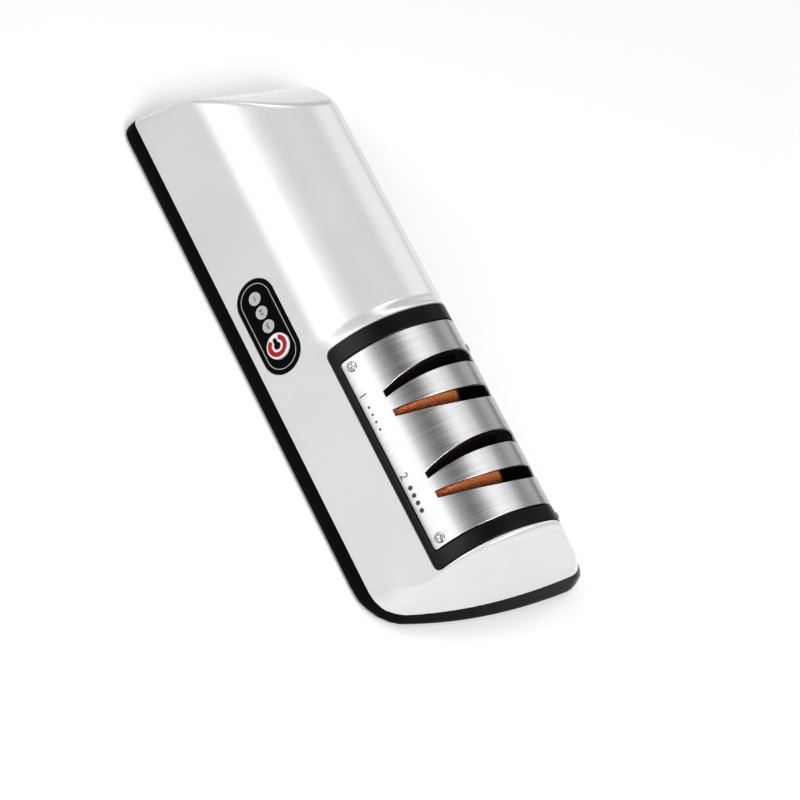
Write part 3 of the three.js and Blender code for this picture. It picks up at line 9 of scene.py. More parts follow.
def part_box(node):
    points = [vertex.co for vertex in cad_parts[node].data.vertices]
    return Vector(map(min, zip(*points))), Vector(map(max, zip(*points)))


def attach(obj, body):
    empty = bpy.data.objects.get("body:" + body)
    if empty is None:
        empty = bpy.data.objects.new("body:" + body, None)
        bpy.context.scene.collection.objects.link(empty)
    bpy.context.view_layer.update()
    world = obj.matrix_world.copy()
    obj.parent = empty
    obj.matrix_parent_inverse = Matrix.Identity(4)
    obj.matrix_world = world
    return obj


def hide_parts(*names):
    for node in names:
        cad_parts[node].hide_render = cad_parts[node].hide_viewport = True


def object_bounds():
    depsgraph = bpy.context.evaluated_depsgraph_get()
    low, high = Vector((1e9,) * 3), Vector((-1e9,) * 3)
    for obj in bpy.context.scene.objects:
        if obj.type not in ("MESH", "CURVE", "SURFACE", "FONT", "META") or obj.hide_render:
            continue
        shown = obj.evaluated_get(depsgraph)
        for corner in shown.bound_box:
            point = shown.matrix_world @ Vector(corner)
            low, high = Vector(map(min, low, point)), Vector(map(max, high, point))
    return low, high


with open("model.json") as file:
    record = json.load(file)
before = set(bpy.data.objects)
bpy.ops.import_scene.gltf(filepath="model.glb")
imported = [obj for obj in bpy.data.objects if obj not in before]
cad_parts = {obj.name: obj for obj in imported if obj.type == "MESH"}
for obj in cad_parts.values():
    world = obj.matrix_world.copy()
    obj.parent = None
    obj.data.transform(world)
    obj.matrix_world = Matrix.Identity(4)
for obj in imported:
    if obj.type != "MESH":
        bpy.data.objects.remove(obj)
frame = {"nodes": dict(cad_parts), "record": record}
cad_low, cad_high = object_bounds()
nodes = frame["nodes"]

# Casing sizes, in metres, with heights from the underside of the base
LIFT = 0.0012
HALF_LENGTH = (cad_high.x - cad_low.x) / 2
HALF_WIDTH = (cad_high.y - cad_low.y) / 2
HANDLE_HEIGHT = 0.0455
MODULE_HEIGHT = 0.048
NEAR_SLOPE = math.radians(60)
FAR_SLOPE = math.radians(55)
CREST_RADIUS = 0.040
SHOULDER_RADIUS = 0.0075
RAMP_FROM = 0.0085
RAMP_LENGTH = 0.0062
DROP_FROM = 0.1084
DROP_LENGTH = 0.002
END_ROLL = 0.0337
FRONT_BOW = 0.0031
FRONT_LEAN = math.tan(math.radians(3))
FRONT_CORNER = 0.013
FRONT_CORNER_FAR = 0.011
FRONT_BOW_FAR = 0.0024
REAR_CORNER = 0.005
REAR_CORNER_FAR = 0.008
WALL = 0.0024
FIT = 0.0003
SEAM_NEAR = 0.0048
SEAM_FAR = 0.012

# How softly the ends of the casing meet its section
TOP_EDGE = 0.0011
CORNER_BLEND = 0.0045
CORNER_BLEND_HEIGHT = 0.012
BOTTOM_EDGE = 0.0012
# The handle's far rear edge is softer, over this part of the width and from this height
REAR_FAR_BLEND = 0.010
REAR_FAR_FROM = 0.011
REAR_FAR_OVER = 0.010
REAR_FAR_HEIGHT = 0.016

# Edges: how far two faces may turn before their edge is sharp, and how wide the small bevels are
SMOOTH_ANGLE = 35
CURVED_ANGLE = 30
BEVEL_ANGLE = 50
SMALL_BEVEL = 0.0002
ROUND_BEVEL = 0.0003
FRAME_BEVEL = 0.0004
PLATE_BEVEL = 0.00015
NORMAL_WEIGHT = 80
MERGE_DISTANCE = 1e-6


# Mesh helpers


def deselect():
    if bpy.context.mode != "OBJECT":
        bpy.ops.object.mode_set(mode="OBJECT")
    bpy.ops.object.select_all(action="DESELECT")


def take(piece):
    """Makes a piece the only selected and active one."""
    deselect()
    piece.select_set(True)
    bpy.context.view_layer.objects.active = piece
    return piece


def fresh(name):
    piece = bpy.context.active_object
    piece.name = name
    piece.data.name = name
    return piece


def points_of(piece):
    co = np.zeros(len(piece.data.vertices) * 3)
    piece.data.vertices.foreach_get("co", co)
    return co.reshape(-1, 3)


def place_points(piece, points):
    piece.data.vertices.foreach_set("co", np.asarray(points, float).ravel())
    piece.data.update()


def outline_solid(name, outline, bottom, top):
    """A flat outline with a thickness, its faces pointing out."""
    deselect()
    bpy.ops.mesh.primitive_circle_add(vertices=len(outline), fill_type="NGON")
    piece = fresh(name)
    place_points(piece, [(x, y, bottom) for x, y in outline])
    bpy.ops.object.mode_set(mode="EDIT")
    bpy.ops.mesh.select_all(action="SELECT")
    bpy.ops.mesh.extrude_region_move(TRANSFORM_OT_translate={"value": (0, 0, top - bottom)})
    bpy.ops.mesh.select_all(action="SELECT")
    bpy.ops.mesh.normals_make_consistent(inside=False)
    bpy.ops.object.mode_set(mode="OBJECT")
    return piece


def apply_modifier(piece, kind, **settings):
    take(piece)
    modifier = piece.modifiers.new(kind, kind)
    for key, value in settings.items():
        setattr(modifier, key, value)
    bpy.ops.object.modifier_apply(modifier=modifier.name)


def cut(piece, cutter, operation="DIFFERENCE"):
    apply_modifier(piece, "BOOLEAN", operation=operation, object=cutter, solver="EXACT")
    bpy.data.objects.remove(cutter)


def soften(piece, width, angle=BEVEL_ANGLE, segments=2):
    apply_modifier(piece, "BEVEL", width=width, segments=segments, limit_method="ANGLE",
                   angle_limit=math.radians(angle), use_clamp_overlap=False, miter_outer="MITER_ARC")
    smooth(piece, angle)
    apply_modifier(piece, "WEIGHTED_NORMAL", keep_sharp=True, weight=NORMAL_WEIGHT)


def smooth(piece, angle=SMOOTH_ANGLE):
    take(piece)
    bpy.ops.object.shade_smooth_by_angle(angle=math.radians(angle))


def moved(piece, matrix):
    piece.data.transform(matrix)
    piece.data.update()
    return piece


def finished(piece, body, material, slot, *replaced):
    piece.data.materials.clear()
    piece.data.materials.append(material)
    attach(piece, body)
    if replaced:
        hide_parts(*replaced)
    return piece


# Turn a solid that stands on Z so that it lies along X, or along Y
ALONG_X = Matrix(((0, 0, 1, 0), (1, 0, 0, 0), (0, 1, 0, 0), (0, 0, 0, 1)))
ALONG_Y = Matrix.Rotation(math.pi / 2, 4, "X")


def arc(centre, radius, start, end, steps):
    angles = np.radians(np.linspace(start, end, steps + 1))
    return [(centre[0] + radius * math.cos(a), centre[1] + radius * math.sin(a)) for a in angles]


def rounded_box(low, high, radius, steps=6):
    (x0, y0), (x1, y1) = low, high
    return [
        *arc((x1 - radius, y0 + radius), radius, -90, 0, steps),
        *arc((x1 - radius, y1 - radius), radius, 0, 90, steps),
        *arc((x0 + radius, y1 - radius), radius, 90, 180, steps),
        *arc((x0 + radius, y0 + radius), radius, 180, 270, steps),
    ]


# The casing's outer surface, as a distance that is negative inside


def soft_step(share):
    share = np.clip(share, 0, 1)
    return share * share * (3 - 2 * share)


def rounded_max(a, b, radius):
    """The larger of two distances, with their meeting edge rounded."""
    over_a, over_b = np.maximum(a + radius, 0), np.maximum(b + radius, 0)
    return np.minimum(np.maximum(a, b), -radius) + np.hypot(over_a, over_b)


def height_at(x):
    rise = MODULE_HEIGHT - HANDLE_HEIGHT
    up = soft_step((x - RAMP_FROM) / RAMP_LENGTH)
    down = soft_step((x - DROP_FROM) / DROP_LENGTH)
    return HANDLE_HEIGHT + rise * (up - down)


def crest_centre(height):
    near_top = -HALF_WIDTH + height / math.tan(NEAR_SLOPE)
    return near_top + CREST_RADIUS * math.tan(NEAR_SLOPE / 2), height - CREST_RADIUS


def shoulder_centre(height):
    far_top = HALF_WIDTH - height / math.tan(FAR_SLOPE)
    return far_top - SHOULDER_RADIUS * math.tan(FAR_SLOPE / 2), height - SHOULDER_RADIUS


def section_distance(y, z, height):
    near = -(y + HALF_WIDTH) * math.sin(NEAR_SLOPE) + z * math.cos(NEAR_SLOPE)
    far = (y - HALF_WIDTH) * math.sin(FAR_SLOPE) + z * math.cos(FAR_SLOPE)
    distance = np.maximum(np.maximum(near, far), z - height)
    for (cy, cz), radius, low, high in (
        (crest_centre(height), CREST_RADIUS, -NEAR_SLOPE, 0),
        (shoulder_centre(height), SHOULDER_RADIUS, 0, FAR_SLOPE),
    ):
        lean = np.arctan2(y - cy, z - cz)
        inside = (lean >= low) & (lean <= high)
        distance = np.where(inside, np.hypot(y - cy, z - cz) - radius, distance)
    return distance


def casing_distance(p):
    x, y, z = p[:, 0], p[:, 1], p[:, 2]
    section = section_distance(y, z, height_at(x))
    bow_half = HALF_WIDTH - FRONT_CORNER
    bow_depth = np.where(y > 0, FRONT_BOW_FAR, FRONT_BOW)
    bow = bow_depth * (y / bow_half) ** 2
    bow_slope = 2 * bow_depth * y / bow_half ** 2
    front = (x - HALF_LENGTH + bow + z * FRONT_LEAN) / np.hypot(1, bow_slope)
    roll_slope = 2 * END_ROLL * np.maximum(z, 0) / HANDLE_HEIGHT ** 2
    rear = (-HALF_LENGTH + END_ROLL * (np.maximum(z, 0) / HANDLE_HEIGHT) ** 2 - x) / np.hypot(1, roll_slope)
    side = np.abs(y) - HALF_WIDTH
    corner_share = soft_step(z / CORNER_BLEND_HEIGHT) * soft_step(2 - z / CORNER_BLEND_HEIGHT)
    edge = TOP_EDGE + (CORNER_BLEND - TOP_EDGE) * corner_share
    far = y > 0
    far_share = soft_step((y - REAR_FAR_FROM) / REAR_FAR_OVER) * soft_step(z / REAR_FAR_HEIGHT)
    rear_edge = edge + (REAR_FAR_BLEND - edge) * far_share
    for end, corner, blend in ((front, np.where(far, FRONT_CORNER_FAR, FRONT_CORNER), edge),
                               (rear, np.where(far, REAR_CORNER_FAR, REAR_CORNER), rear_edge)):
        rounded = rounded_max(end, side, corner) + np.minimum(end + corner, 0)
        section = rounded_max(section, rounded, blend)
    return rounded_max(section, -z, BOTTOM_EDGE)


# The casing is a sphere stretched along a spine and then drawn out to the surface
SPINE_REAR = -0.076
SPINE_FRONT = 0.104
SPINE_Y = 0.002
SPINE_Z = 0.014
REACH = 0.09
HALVINGS = 26
# Leans, in degrees from the spine's normal, at which the ends' rings start and stop
POLE_LEAN = 88.5
REAR_LEAN = 1.5
DROP_LEANS = (0.8, 14)
FRONT_RINGS_FROM = 15
# Rings in each stretch of the spine, and points round a ring
REAR_RINGS = 92
HANDLE_RINGS = 24
RAMP_RINGS = 14
MODULE_RINGS = 28
DROP_RINGS = 30
FRONT_RINGS = 60
COLUMNS = 240
HANDLE_GAP = 0.001
RAMP_GAP = 0.0004
MODULE_GAP = 0.002
# The hollow is made with fewer of both
HOLLOW_COLUMNS = 80
HOLLOW_COARSE = 2


def spine_rings(coarse=1):
    """(place along the spine, lean towards the end in degrees) of each ring, rear pole to front pole."""
    ramp_end = RAMP_FROM + RAMP_LENGTH
    rear = [(SPINE_REAR, -a) for a in np.linspace(POLE_LEAN, REAR_LEAN, REAR_RINGS // coarse)]
    handle = [(x, 0) for x in np.linspace(SPINE_REAR, RAMP_FROM - HANDLE_GAP, HANDLE_RINGS // coarse)]
    ramp = [(x, 0) for x in np.linspace(RAMP_FROM - RAMP_GAP, ramp_end + RAMP_GAP, RAMP_RINGS // coarse)]
    module = [(x, 0) for x in np.linspace(ramp_end + MODULE_GAP, SPINE_FRONT, MODULE_RINGS // coarse)]
    drop = [(SPINE_FRONT, a) for a in np.linspace(*DROP_LEANS, DROP_RINGS // coarse)]
    front = [(SPINE_FRONT, a) for a in np.linspace(FRONT_RINGS_FROM, POLE_LEAN, FRONT_RINGS // coarse)]
    return rear + handle + ramp + module + drop + front


def casing_solid(name, depth, columns=COLUMNS, coarse=1):
    """The closed casing at a depth under its outer surface."""
    rings = spine_rings(coarse)
    deselect()
    bpy.ops.mesh.primitive_uv_sphere_add(segments=columns, ring_count=len(rings) + 1, radius=1)
    piece = fresh(name)
    unit = points_of(piece)
    polar = np.arccos(np.clip(unit[:, 2], -1, 1)) / math.pi * (len(rings) + 1)
    place = np.clip(np.rint(polar).astype(int), 0, len(rings) + 1)
    table = np.array([(SPINE_REAR, -90), *rings, (SPINE_FRONT, 90)])
    start = np.column_stack([table[place, 0], np.full(len(unit), SPINE_Y), np.full(len(unit), SPINE_Z)])
    lean = np.radians(table[place, 1])
    turn = np.arctan2(unit[:, 1], unit[:, 0])
    way = np.column_stack([np.sin(lean), np.cos(lean) * np.cos(turn), np.cos(lean) * np.sin(turn)])
    low, high = np.zeros(len(unit)), np.full(len(unit), REACH)
    for _ in range(HALVINGS):
        middle = (low + high) / 2
        outside = casing_distance(start + way * middle[:, None]) + depth > 0
        high = np.where(outside, middle, high)
        low = np.where(outside, low, middle)
    place_points(piece, start + way * ((low + high) / 2)[:, None])
    take(piece)
    bpy.ops.object.mode_set(mode="EDIT")
    bpy.ops.mesh.select_all(action="SELECT")
    bpy.ops.mesh.normals_make_consistent(inside=False)
    bpy.ops.object.mode_set(mode="OBJECT")
    return piece


def keep_side(piece, height_near, height_far, above):
    """Cuts a piece along the sloping seam and keeps one side, closed."""
    take(piece)
    bpy.ops.object.mode_set(mode="EDIT")
    bpy.ops.mesh.select_all(action="SELECT")
    slope = (height_far - height_near) / (2 * HALF_WIDTH)
    bpy.ops.mesh.bisect(plane_co=(0, 0, (height_near + height_far) / 2), plane_no=(0, -slope, 1),
                        use_fill=True, clear_inner=above, clear_outer=not above)
    bpy.ops.object.mode_set(mode="OBJECT")
    return piece


# The module's section laid flat: X, distance round the section from the near foot, height off the skin
CREST_Y, CREST_Z = crest_centre(MODULE_HEIGHT)
SHOULDER_Y, SHOULDER_Z = shoulder_centre(MODULE_HEIGHT)
FLANK_END = (CREST_Z + CREST_RADIUS * math.cos(NEAR_SLOPE)) / math.sin(NEAR_SLOPE)
CREST_END = FLANK_END + CREST_RADIUS * NEAR_SLOPE
SHOULDER_START = CREST_END + SHOULDER_Y - CREST_Y
SHOULDER_END = SHOULDER_START + SHOULDER_RADIUS * FAR_SLOPE
FAR_TOP_Y = SHOULDER_Y + SHOULDER_RADIUS * math.sin(FAR_SLOPE)
FAR_TOP_Z = SHOULDER_Z + SHOULDER_RADIUS * math.cos(FAR_SLOPE)


def skin_point(around):
    """Place (y, z) and outward direction of the module's skin at a distance round it."""
    if around <= FLANK_END:
        y = -HALF_WIDTH + around * math.cos(NEAR_SLOPE)
        return y, around * math.sin(NEAR_SLOPE), -math.sin(NEAR_SLOPE), math.cos(NEAR_SLOPE)
    if around <= CREST_END:
        lean = -NEAR_SLOPE + (around - FLANK_END) / CREST_RADIUS
        oy, oz = math.sin(lean), math.cos(lean)
        return CREST_Y + CREST_RADIUS * oy, CREST_Z + CREST_RADIUS * oz, oy, oz
    if around <= SHOULDER_START:
        return CREST_Y + around - CREST_END, MODULE_HEIGHT, 0, 1
    if around <= SHOULDER_END:
        lean = (around - SHOULDER_START) / SHOULDER_RADIUS
        oy, oz = math.sin(lean), math.cos(lean)
        return SHOULDER_Y + SHOULDER_RADIUS * oy, SHOULDER_Z + SHOULDER_RADIUS * oz, oy, oz
    down = around - SHOULDER_END
    return (FAR_TOP_Y + down * math.cos(FAR_SLOPE), FAR_TOP_Z - down * math.sin(FAR_SLOPE),
            math.sin(FAR_SLOPE), math.cos(FAR_SLOPE))


def near_around(height):
    """Distance round the skin to a height on its near side."""
    if height <= FLANK_END * math.sin(NEAR_SLOPE):
        return height / math.sin(NEAR_SLOPE)
    return FLANK_END + CREST_RADIUS * (NEAR_SLOPE - math.acos((height - CREST_Z) / CREST_RADIUS))


def far_around(height):
    return SHOULDER_END + (FAR_TOP_Z - height) / math.sin(FAR_SLOPE)


def crest_around(y):
    return FLANK_END + CREST_RADIUS * (NEAR_SLOPE + math.asin((y - CREST_Y) / CREST_RADIUS))


def far_around_at(y):
    return SHOULDER_END + (y - FAR_TOP_Y) / math.cos(FAR_SLOPE)


BEND_STEP = 0.0012
SHOULDER_STEP = 0.0006


def wrapped(piece, low, high):
    """Bends a flat piece round the module's section."""
    take(piece)
    lines = [*np.arange(FLANK_END, CREST_END, BEND_STEP), *np.arange(CREST_END, SHOULDER_END, SHOULDER_STEP)]
    lines = [s for s in [*lines, SHOULDER_END] if low < s < high]
    bpy.ops.object.mode_set(mode="EDIT")
    for line in lines:
        bpy.ops.mesh.select_all(action="SELECT")
        bpy.ops.mesh.bisect(plane_co=(0, line, 0), plane_no=(0, 1, 0))
    bpy.ops.object.mode_set(mode="OBJECT")
    bent = []
    for x, around, out in points_of(piece):
        y, z, oy, oz = skin_point(around)
        bent.append((x, y + oy * out, z + oz * out))
    place_points(piece, bent)
    take(piece)
    bpy.ops.object.mode_set(mode="EDIT")
    bpy.ops.mesh.select_all(action="SELECT")
    bpy.ops.mesh.normals_make_consistent(inside=False)
    bpy.ops.object.mode_set(mode="OBJECT")
    return piece


# Frame and plate, with the heights of their near and far edges
FRAME_NEAR = 0.0276
FRAME_FAR = 0.027
FRAME_LOW = (0.015, near_around(FRAME_NEAR))
FRAME_HIGH = (0.1073, far_around(FRAME_FAR))
FRAME_CORNER = 0.0026
FRAME_THICKNESS = 0.003
PLATE_NEAR = 0.0302
PLATE_FAR = 0.030
PLATE_LOW = (0.0222, near_around(PLATE_NEAR))
PLATE_HIGH = (0.1007, far_around(PLATE_FAR))
PLATE_CORNER = 0.0013
PLATE_THICKNESS = 0.001
LEDGE_SIDE = 0.0019
LEDGE_END = 0.005

# Slots and wheels
FINE_X = 0.0452
COARSE_X = 0.0795
SPINDLE_HEIGHT = 0.025
SLOT_FROM = crest_around(-0.021)
SLOT_TO = far_around_at(0.022)
SLOT_REFERENCE = 0.037
SLOT_INNER = 0.0026
SLOT_WIDTH = 0.0026
SLOT_INNER_LEAN = math.tan(math.radians(12.3))
SLOT_OUTER_LEAN = math.tan(math.radians(25.3))
SLOT_STEPS = 60
WHEEL_RADIUS = 0.019
WHEEL_HALF = 0.0026
WHEEL_BORE = 0.0062

# Room in the guide under a slot
SLOT_FLOOR = 0.0325
SLOT_NEAR_Y = -0.021
GUARD_Y = 0.0013
GUARD_Z = 0.0449
GUARD_RAKE = math.tan(math.radians(33))

# Charging inlet, feet and the wells of the screws under the base
PORT_Y = 0.022
PORT_Z = 0.0068
PORT_WIDTH = 0.0106
PORT_TALL = 0.0048
PORT_CORNER = PORT_TALL / 2.2
FOOT_RADIUS = 0.006
FOOT_RECESS = 0.0008
FOOT_PROUD = LIFT
SCREW_WELL = 0.0033
WELL_DEPTH = 0.0018

# Control panel, in the near flank's own axes: X along, Y up the flank, Z out of it
PANEL_X = -0.0081
PANEL_UP = 0.0174
PANEL_RADIUS = 0.00795
PANEL_HALF_STRAIGHT = 0.0112
PANEL_PROUD = 0.00015
PANEL_BACK = 0.00085
PANEL_LINE_INSET = 0.0016
PANEL_LINE_WIDTH = 0.0002
BUTTON_X = 0.0088
BUTTON_RADIUS = 0.0047
BUTTON_PROUD = 0.0006
INDICATOR_X = (-0.0121, -0.006, 0)
INDICATOR_RADIUS = 0.0024
FLANK = Matrix.Translation((PANEL_X, -HALF_WIDTH + PANEL_UP * math.cos(NEAR_SLOPE),
                            PANEL_UP * math.sin(NEAR_SLOPE))) @ Matrix.Rotation(NEAR_SLOPE, 4, "X")
INK = 0.00006

# Points round an arc or a circle
STADIUM_STEPS = 24
BUTTON_SIDES = 128
PANEL_HOLE_SIDES = 96
ROUND_SIDES = 64
WELL_SIDES = 48


def grown(low, high, by):
    return (low[0] - by, low[1] - by), (high[0] + by, high[1] + by)


def slot_outline(wheel_x, side):
    arounds = np.linspace(SLOT_FROM, SLOT_TO, SLOT_STEPS)
    rises = [skin_point(s)[1] - SLOT_REFERENCE for s in arounds]
    inner = [(wheel_x + side * (SLOT_INNER + rise * SLOT_INNER_LEAN), s) for s, rise in zip(arounds, rises)]
    outer = [(wheel_x + side * (SLOT_INNER + SLOT_WIDTH + rise * SLOT_OUTER_LEAN), s)
             for s, rise in zip(arounds, rises)]
    return inner + outer[::-1]


def frame_cutter(name, low, high, corner, bottom, top):
    flat = outline_solid(name, rounded_box(low, high, corner), bottom, top)
    return wrapped(flat, low[1], high[1])


def slot_frame():
    frame_piece = outline_solid("dressed_frame", rounded_box(FRAME_LOW, FRAME_HIGH, FRAME_CORNER),
                                -FRAME_THICKNESS, 0)
    low, high = grown(PLATE_LOW, PLATE_HIGH, FIT)
    cut(frame_piece, outline_solid("recess", rounded_box(low, high, PLATE_CORNER + FIT),
                                   -PLATE_THICKNESS - FIT, FRAME_THICKNESS))
    low = (PLATE_LOW[0] + LEDGE_END, PLATE_LOW[1] + LEDGE_SIDE)
    high = (PLATE_HIGH[0] - LEDGE_END, PLATE_HIGH[1] - LEDGE_SIDE)
    cut(frame_piece, outline_solid("window", rounded_box(low, high, PLATE_CORNER), -2 * FRAME_THICKNESS,
                                   FRAME_THICKNESS))
    wrapped(frame_piece, FRAME_LOW[1], FRAME_HIGH[1])
    soften(frame_piece, FRAME_BEVEL)
    return frame_piece


def slot_plate():
    plate = outline_solid("dressed_plate", rounded_box(PLATE_LOW, PLATE_HIGH, PLATE_CORNER), -PLATE_THICKNESS, 0)
    for wheel_x in (FINE_X, COARSE_X):
        for side in (-1, 1):
            cut(plate, outline_solid("slot", slot_outline(wheel_x, side), -2 * PLATE_THICKNESS, PLATE_THICKNESS))
    wrapped(plate, PLATE_LOW[1], PLATE_HIGH[1])
    soften(plate, PLATE_BEVEL)
    return plate


def guide_slot(wheel_x, side):
    """The room in the guide under a slot, from its near tip to the wheel's guard."""
    top = MODULE_HEIGHT + WALL
    rake_low, rake_high = (GUARD_Y + (GUARD_Z - z) * GUARD_RAKE for z in (SLOT_FLOOR, top))
    side_on = [(SLOT_NEAR_Y, SLOT_FLOOR), (rake_low, SLOT_FLOOR), (rake_high, top), (SLOT_NEAR_Y, top)]
    space = outline_solid("room", side_on, wheel_x - 2 * SLOT_REFERENCE, wheel_x + 2 * SLOT_REFERENCE)
    moved(space, ALONG_X)
    low, high = SLOT_FLOOR - SLOT_REFERENCE, top - SLOT_REFERENCE
    corners = [(SLOT_INNER + low * SLOT_INNER_LEAN, SLOT_FLOOR),
               (SLOT_INNER + SLOT_WIDTH + low * SLOT_OUTER_LEAN, SLOT_FLOOR),
               (SLOT_INNER + SLOT_WIDTH + high * SLOT_OUTER_LEAN, top),
               (SLOT_INNER + high * SLOT_INNER_LEAN, top)]
    profile = outline_solid("profile", [(wheel_x + side * x, z) for x, z in corners], -HALF_WIDTH, HALF_WIDTH)
    cut(space, moved(profile, ALONG_Y), "INTERSECT")
    return space


def blade_guide():
    """The guide of the solid model, with its slots opened to their full width."""
    guide = nodes["blade_guide"].copy()
    guide.data = guide.data.copy()
    guide.name = guide.data.name = "dressed_guide"
    bpy.context.scene.collection.objects.link(guide)
    guide.parent = None
    guide.matrix_world = Matrix.Identity(4)
    take(guide)
    bpy.ops.object.mode_set(mode="EDIT")
    bpy.ops.mesh.select_all(action="SELECT")
    bpy.ops.mesh.remove_doubles(threshold=MERGE_DISTANCE)
    bpy.ops.object.mode_set(mode="OBJECT")
    moved(guide, Matrix.Translation((0, 0, -LIFT)))
    for wheel_x in (FINE_X, COARSE_X):
        for side in (-1, 1):
            cut(guide, guide_slot(wheel_x, side))
    smooth(guide, CURVED_ANGLE)
    return guide


def top_shell():
    shell = keep_side(casing_solid("dressed_shell", 0), SEAM_NEAR + FIT / 2, SEAM_FAR + FIT / 2, True)
    cut(shell, casing_solid("hollow", WALL, HOLLOW_COLUMNS, HOLLOW_COARSE))
    low, high = grown(FRAME_LOW, FRAME_HIGH, FIT)
    cut(shell, frame_cutter("opening", low, high, FRAME_CORNER + FIT, -2 * WALL, WALL))
    cut(shell, moved(stadium("pocket", PANEL_RADIUS + FIT, -PANEL_PROUD - WALL, 3 * WALL), FLANK))
    smooth(shell, CURVED_ANGLE)
    return shell


def under(box):
    """The place on the base's underside below the middle of a node's box."""
    low, high = box
    return Matrix.Translation(((low.x + high.x) / 2, (low.y + high.y) / 2, 0))


def base_tray():
    base = keep_side(casing_solid("dressed_base", 0), SEAM_NEAR - FIT / 2, SEAM_FAR - FIT / 2, False)
    cut(base, casing_solid("base_hollow", WALL, HOLLOW_COLUMNS, HOLLOW_COARSE))
    port = outline_solid("port", rounded_box((PORT_Y - PORT_WIDTH / 2, PORT_Z - PORT_TALL / 2),
                                             (PORT_Y + PORT_WIDTH / 2, PORT_Z + PORT_TALL / 2), PORT_CORNER),
                         -HALF_LENGTH - WALL, -HALF_LENGTH + 2 * WALL)
    cut(base, moved(port, ALONG_X))
    for place in range(1, 5):
        recess = round_solid("recess", FOOT_RADIUS + FIT, -WALL, FOOT_RECESS, ROUND_SIDES)
        cut(base, moved(recess, under(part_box(f"foot_{place}"))))
        well = round_solid("well", SCREW_WELL, -WALL, WELL_DEPTH, WELL_SIDES)
        cut(base, moved(well, under(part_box(f"case_screw_{place}"))))
    smooth(base, CURVED_ANGLE)
    return base


def stadium_outline(radius):
    return [*arc((PANEL_HALF_STRAIGHT, 0), radius, -90, 90, STADIUM_STEPS),
            *arc((-PANEL_HALF_STRAIGHT, 0), radius, 90, 270, STADIUM_STEPS)]


def stadium(name, radius, bottom, top):
    return outline_solid(name, stadium_outline(radius), bottom, top)


def round_solid(name, radius, bottom, top, sides, x=0, y=0):
    return outline_solid(name, arc((x, y), radius, 0, 360 - 360 / sides, sides - 1), bottom, top)


def control_panel():
    panel = stadium("dressed_panel", PANEL_RADIUS, -PANEL_BACK, PANEL_PROUD)
    cut(panel, round_solid("hole", BUTTON_RADIUS + FIT, -WALL, WALL, PANEL_HOLE_SIDES, BUTTON_X))
    for x in INDICATOR_X:
        cut(panel, round_solid("hole", INDICATOR_RADIUS + FIT / 2, -WALL, WALL, ROUND_SIDES, x))
    soften(panel, SMALL_BEVEL)
    return moved(panel, FLANK)


def panel_line():
    ring = stadium("panel_line", PANEL_RADIUS - PANEL_LINE_INSET, PANEL_PROUD - INK, PANEL_PROUD + INK)
    cut(ring, stadium("inside", PANEL_RADIUS - PANEL_LINE_INSET - PANEL_LINE_WIDTH, -WALL, WALL))
    smooth(ring)
    return moved(ring, FLANK)


def power_button():
    top = PANEL_PROUD + BUTTON_PROUD
    button = round_solid("dressed_button", BUTTON_RADIUS, -PANEL_BACK - FIT, top, BUTTON_SIDES, BUTTON_X)
    soften(button, ROUND_BEVEL, segments=3)
    return moved(button, FLANK)


RING_OUTER = 0.004
RING_INNER = 0.0023
RING_GAP = 32
RING_STEPS = 72
MARK_WIDTH = 0.00075
MARK_DOT = 0.0014
MARK_REACH = 0.0032
MARK_DOT_STEPS = 40
MARK_TIP_STEPS = 12


def button_ring():
    top = PANEL_PROUD + BUTTON_PROUD
    outline = [*arc((BUTTON_X, 0), RING_OUTER, -180 + RING_GAP, 180 - RING_GAP, RING_STEPS),
               *arc((BUTTON_X, 0), RING_INNER, 180 - RING_GAP, -180 + RING_GAP, RING_STEPS)]
    return moved(outline_solid("button_ring", outline, top - INK, top + INK), FLANK)


def button_mark():
    top = PANEL_PROUD + BUTTON_PROUD
    half = math.degrees(math.asin(MARK_WIDTH / MARK_DOT))
    outline = [*arc((BUTTON_X, 0), MARK_DOT, -180 + half, 180 - half, MARK_DOT_STEPS),
               *arc((BUTTON_X - MARK_REACH + MARK_WIDTH, 0), MARK_WIDTH, 90, 270, MARK_TIP_STEPS)]
    return moved(outline_solid("button_mark", outline, top - INK, top + INK), FLANK)


def indicator(place, x):
    lens = round_solid(f"dressed_indicator_{place}", INDICATOR_RADIUS, -PANEL_BACK, PANEL_PROUD, ROUND_SIDES, x)
    soften(lens, SMALL_BEVEL)
    return moved(lens, FLANK)


def spun(name, profile, steps, matrix):
    """A closed profile of (radius, height) turned round Z."""
    deselect()
    bpy.ops.mesh.primitive_circle_add(vertices=len(profile), fill_type="NOTHING")
    piece = fresh(name)
    place_points(piece, [(r, 0, z) for r, z in profile])
    bpy.ops.object.mode_set(mode="EDIT")
    bpy.ops.mesh.select_all(action="SELECT")
    bpy.ops.mesh.spin(steps=steps, angle=2 * math.pi, center=(0, 0, 0), axis=(0, 0, 1))
    bpy.ops.mesh.select_all(action="SELECT")
    bpy.ops.mesh.remove_doubles(threshold=MERGE_DISTANCE)
    bpy.ops.mesh.normals_make_consistent(inside=False)
    bpy.ops.object.mode_set(mode="OBJECT")
    smooth(piece)
    return moved(piece, matrix)


GRIT_DEPTH = 0.00006
GRIT_ANGLE = 60
WHEEL_CHAMFER = 0.0004
WHEEL_STEPS = 256
RIM_POINTS = 12
FACE_POINTS = 26


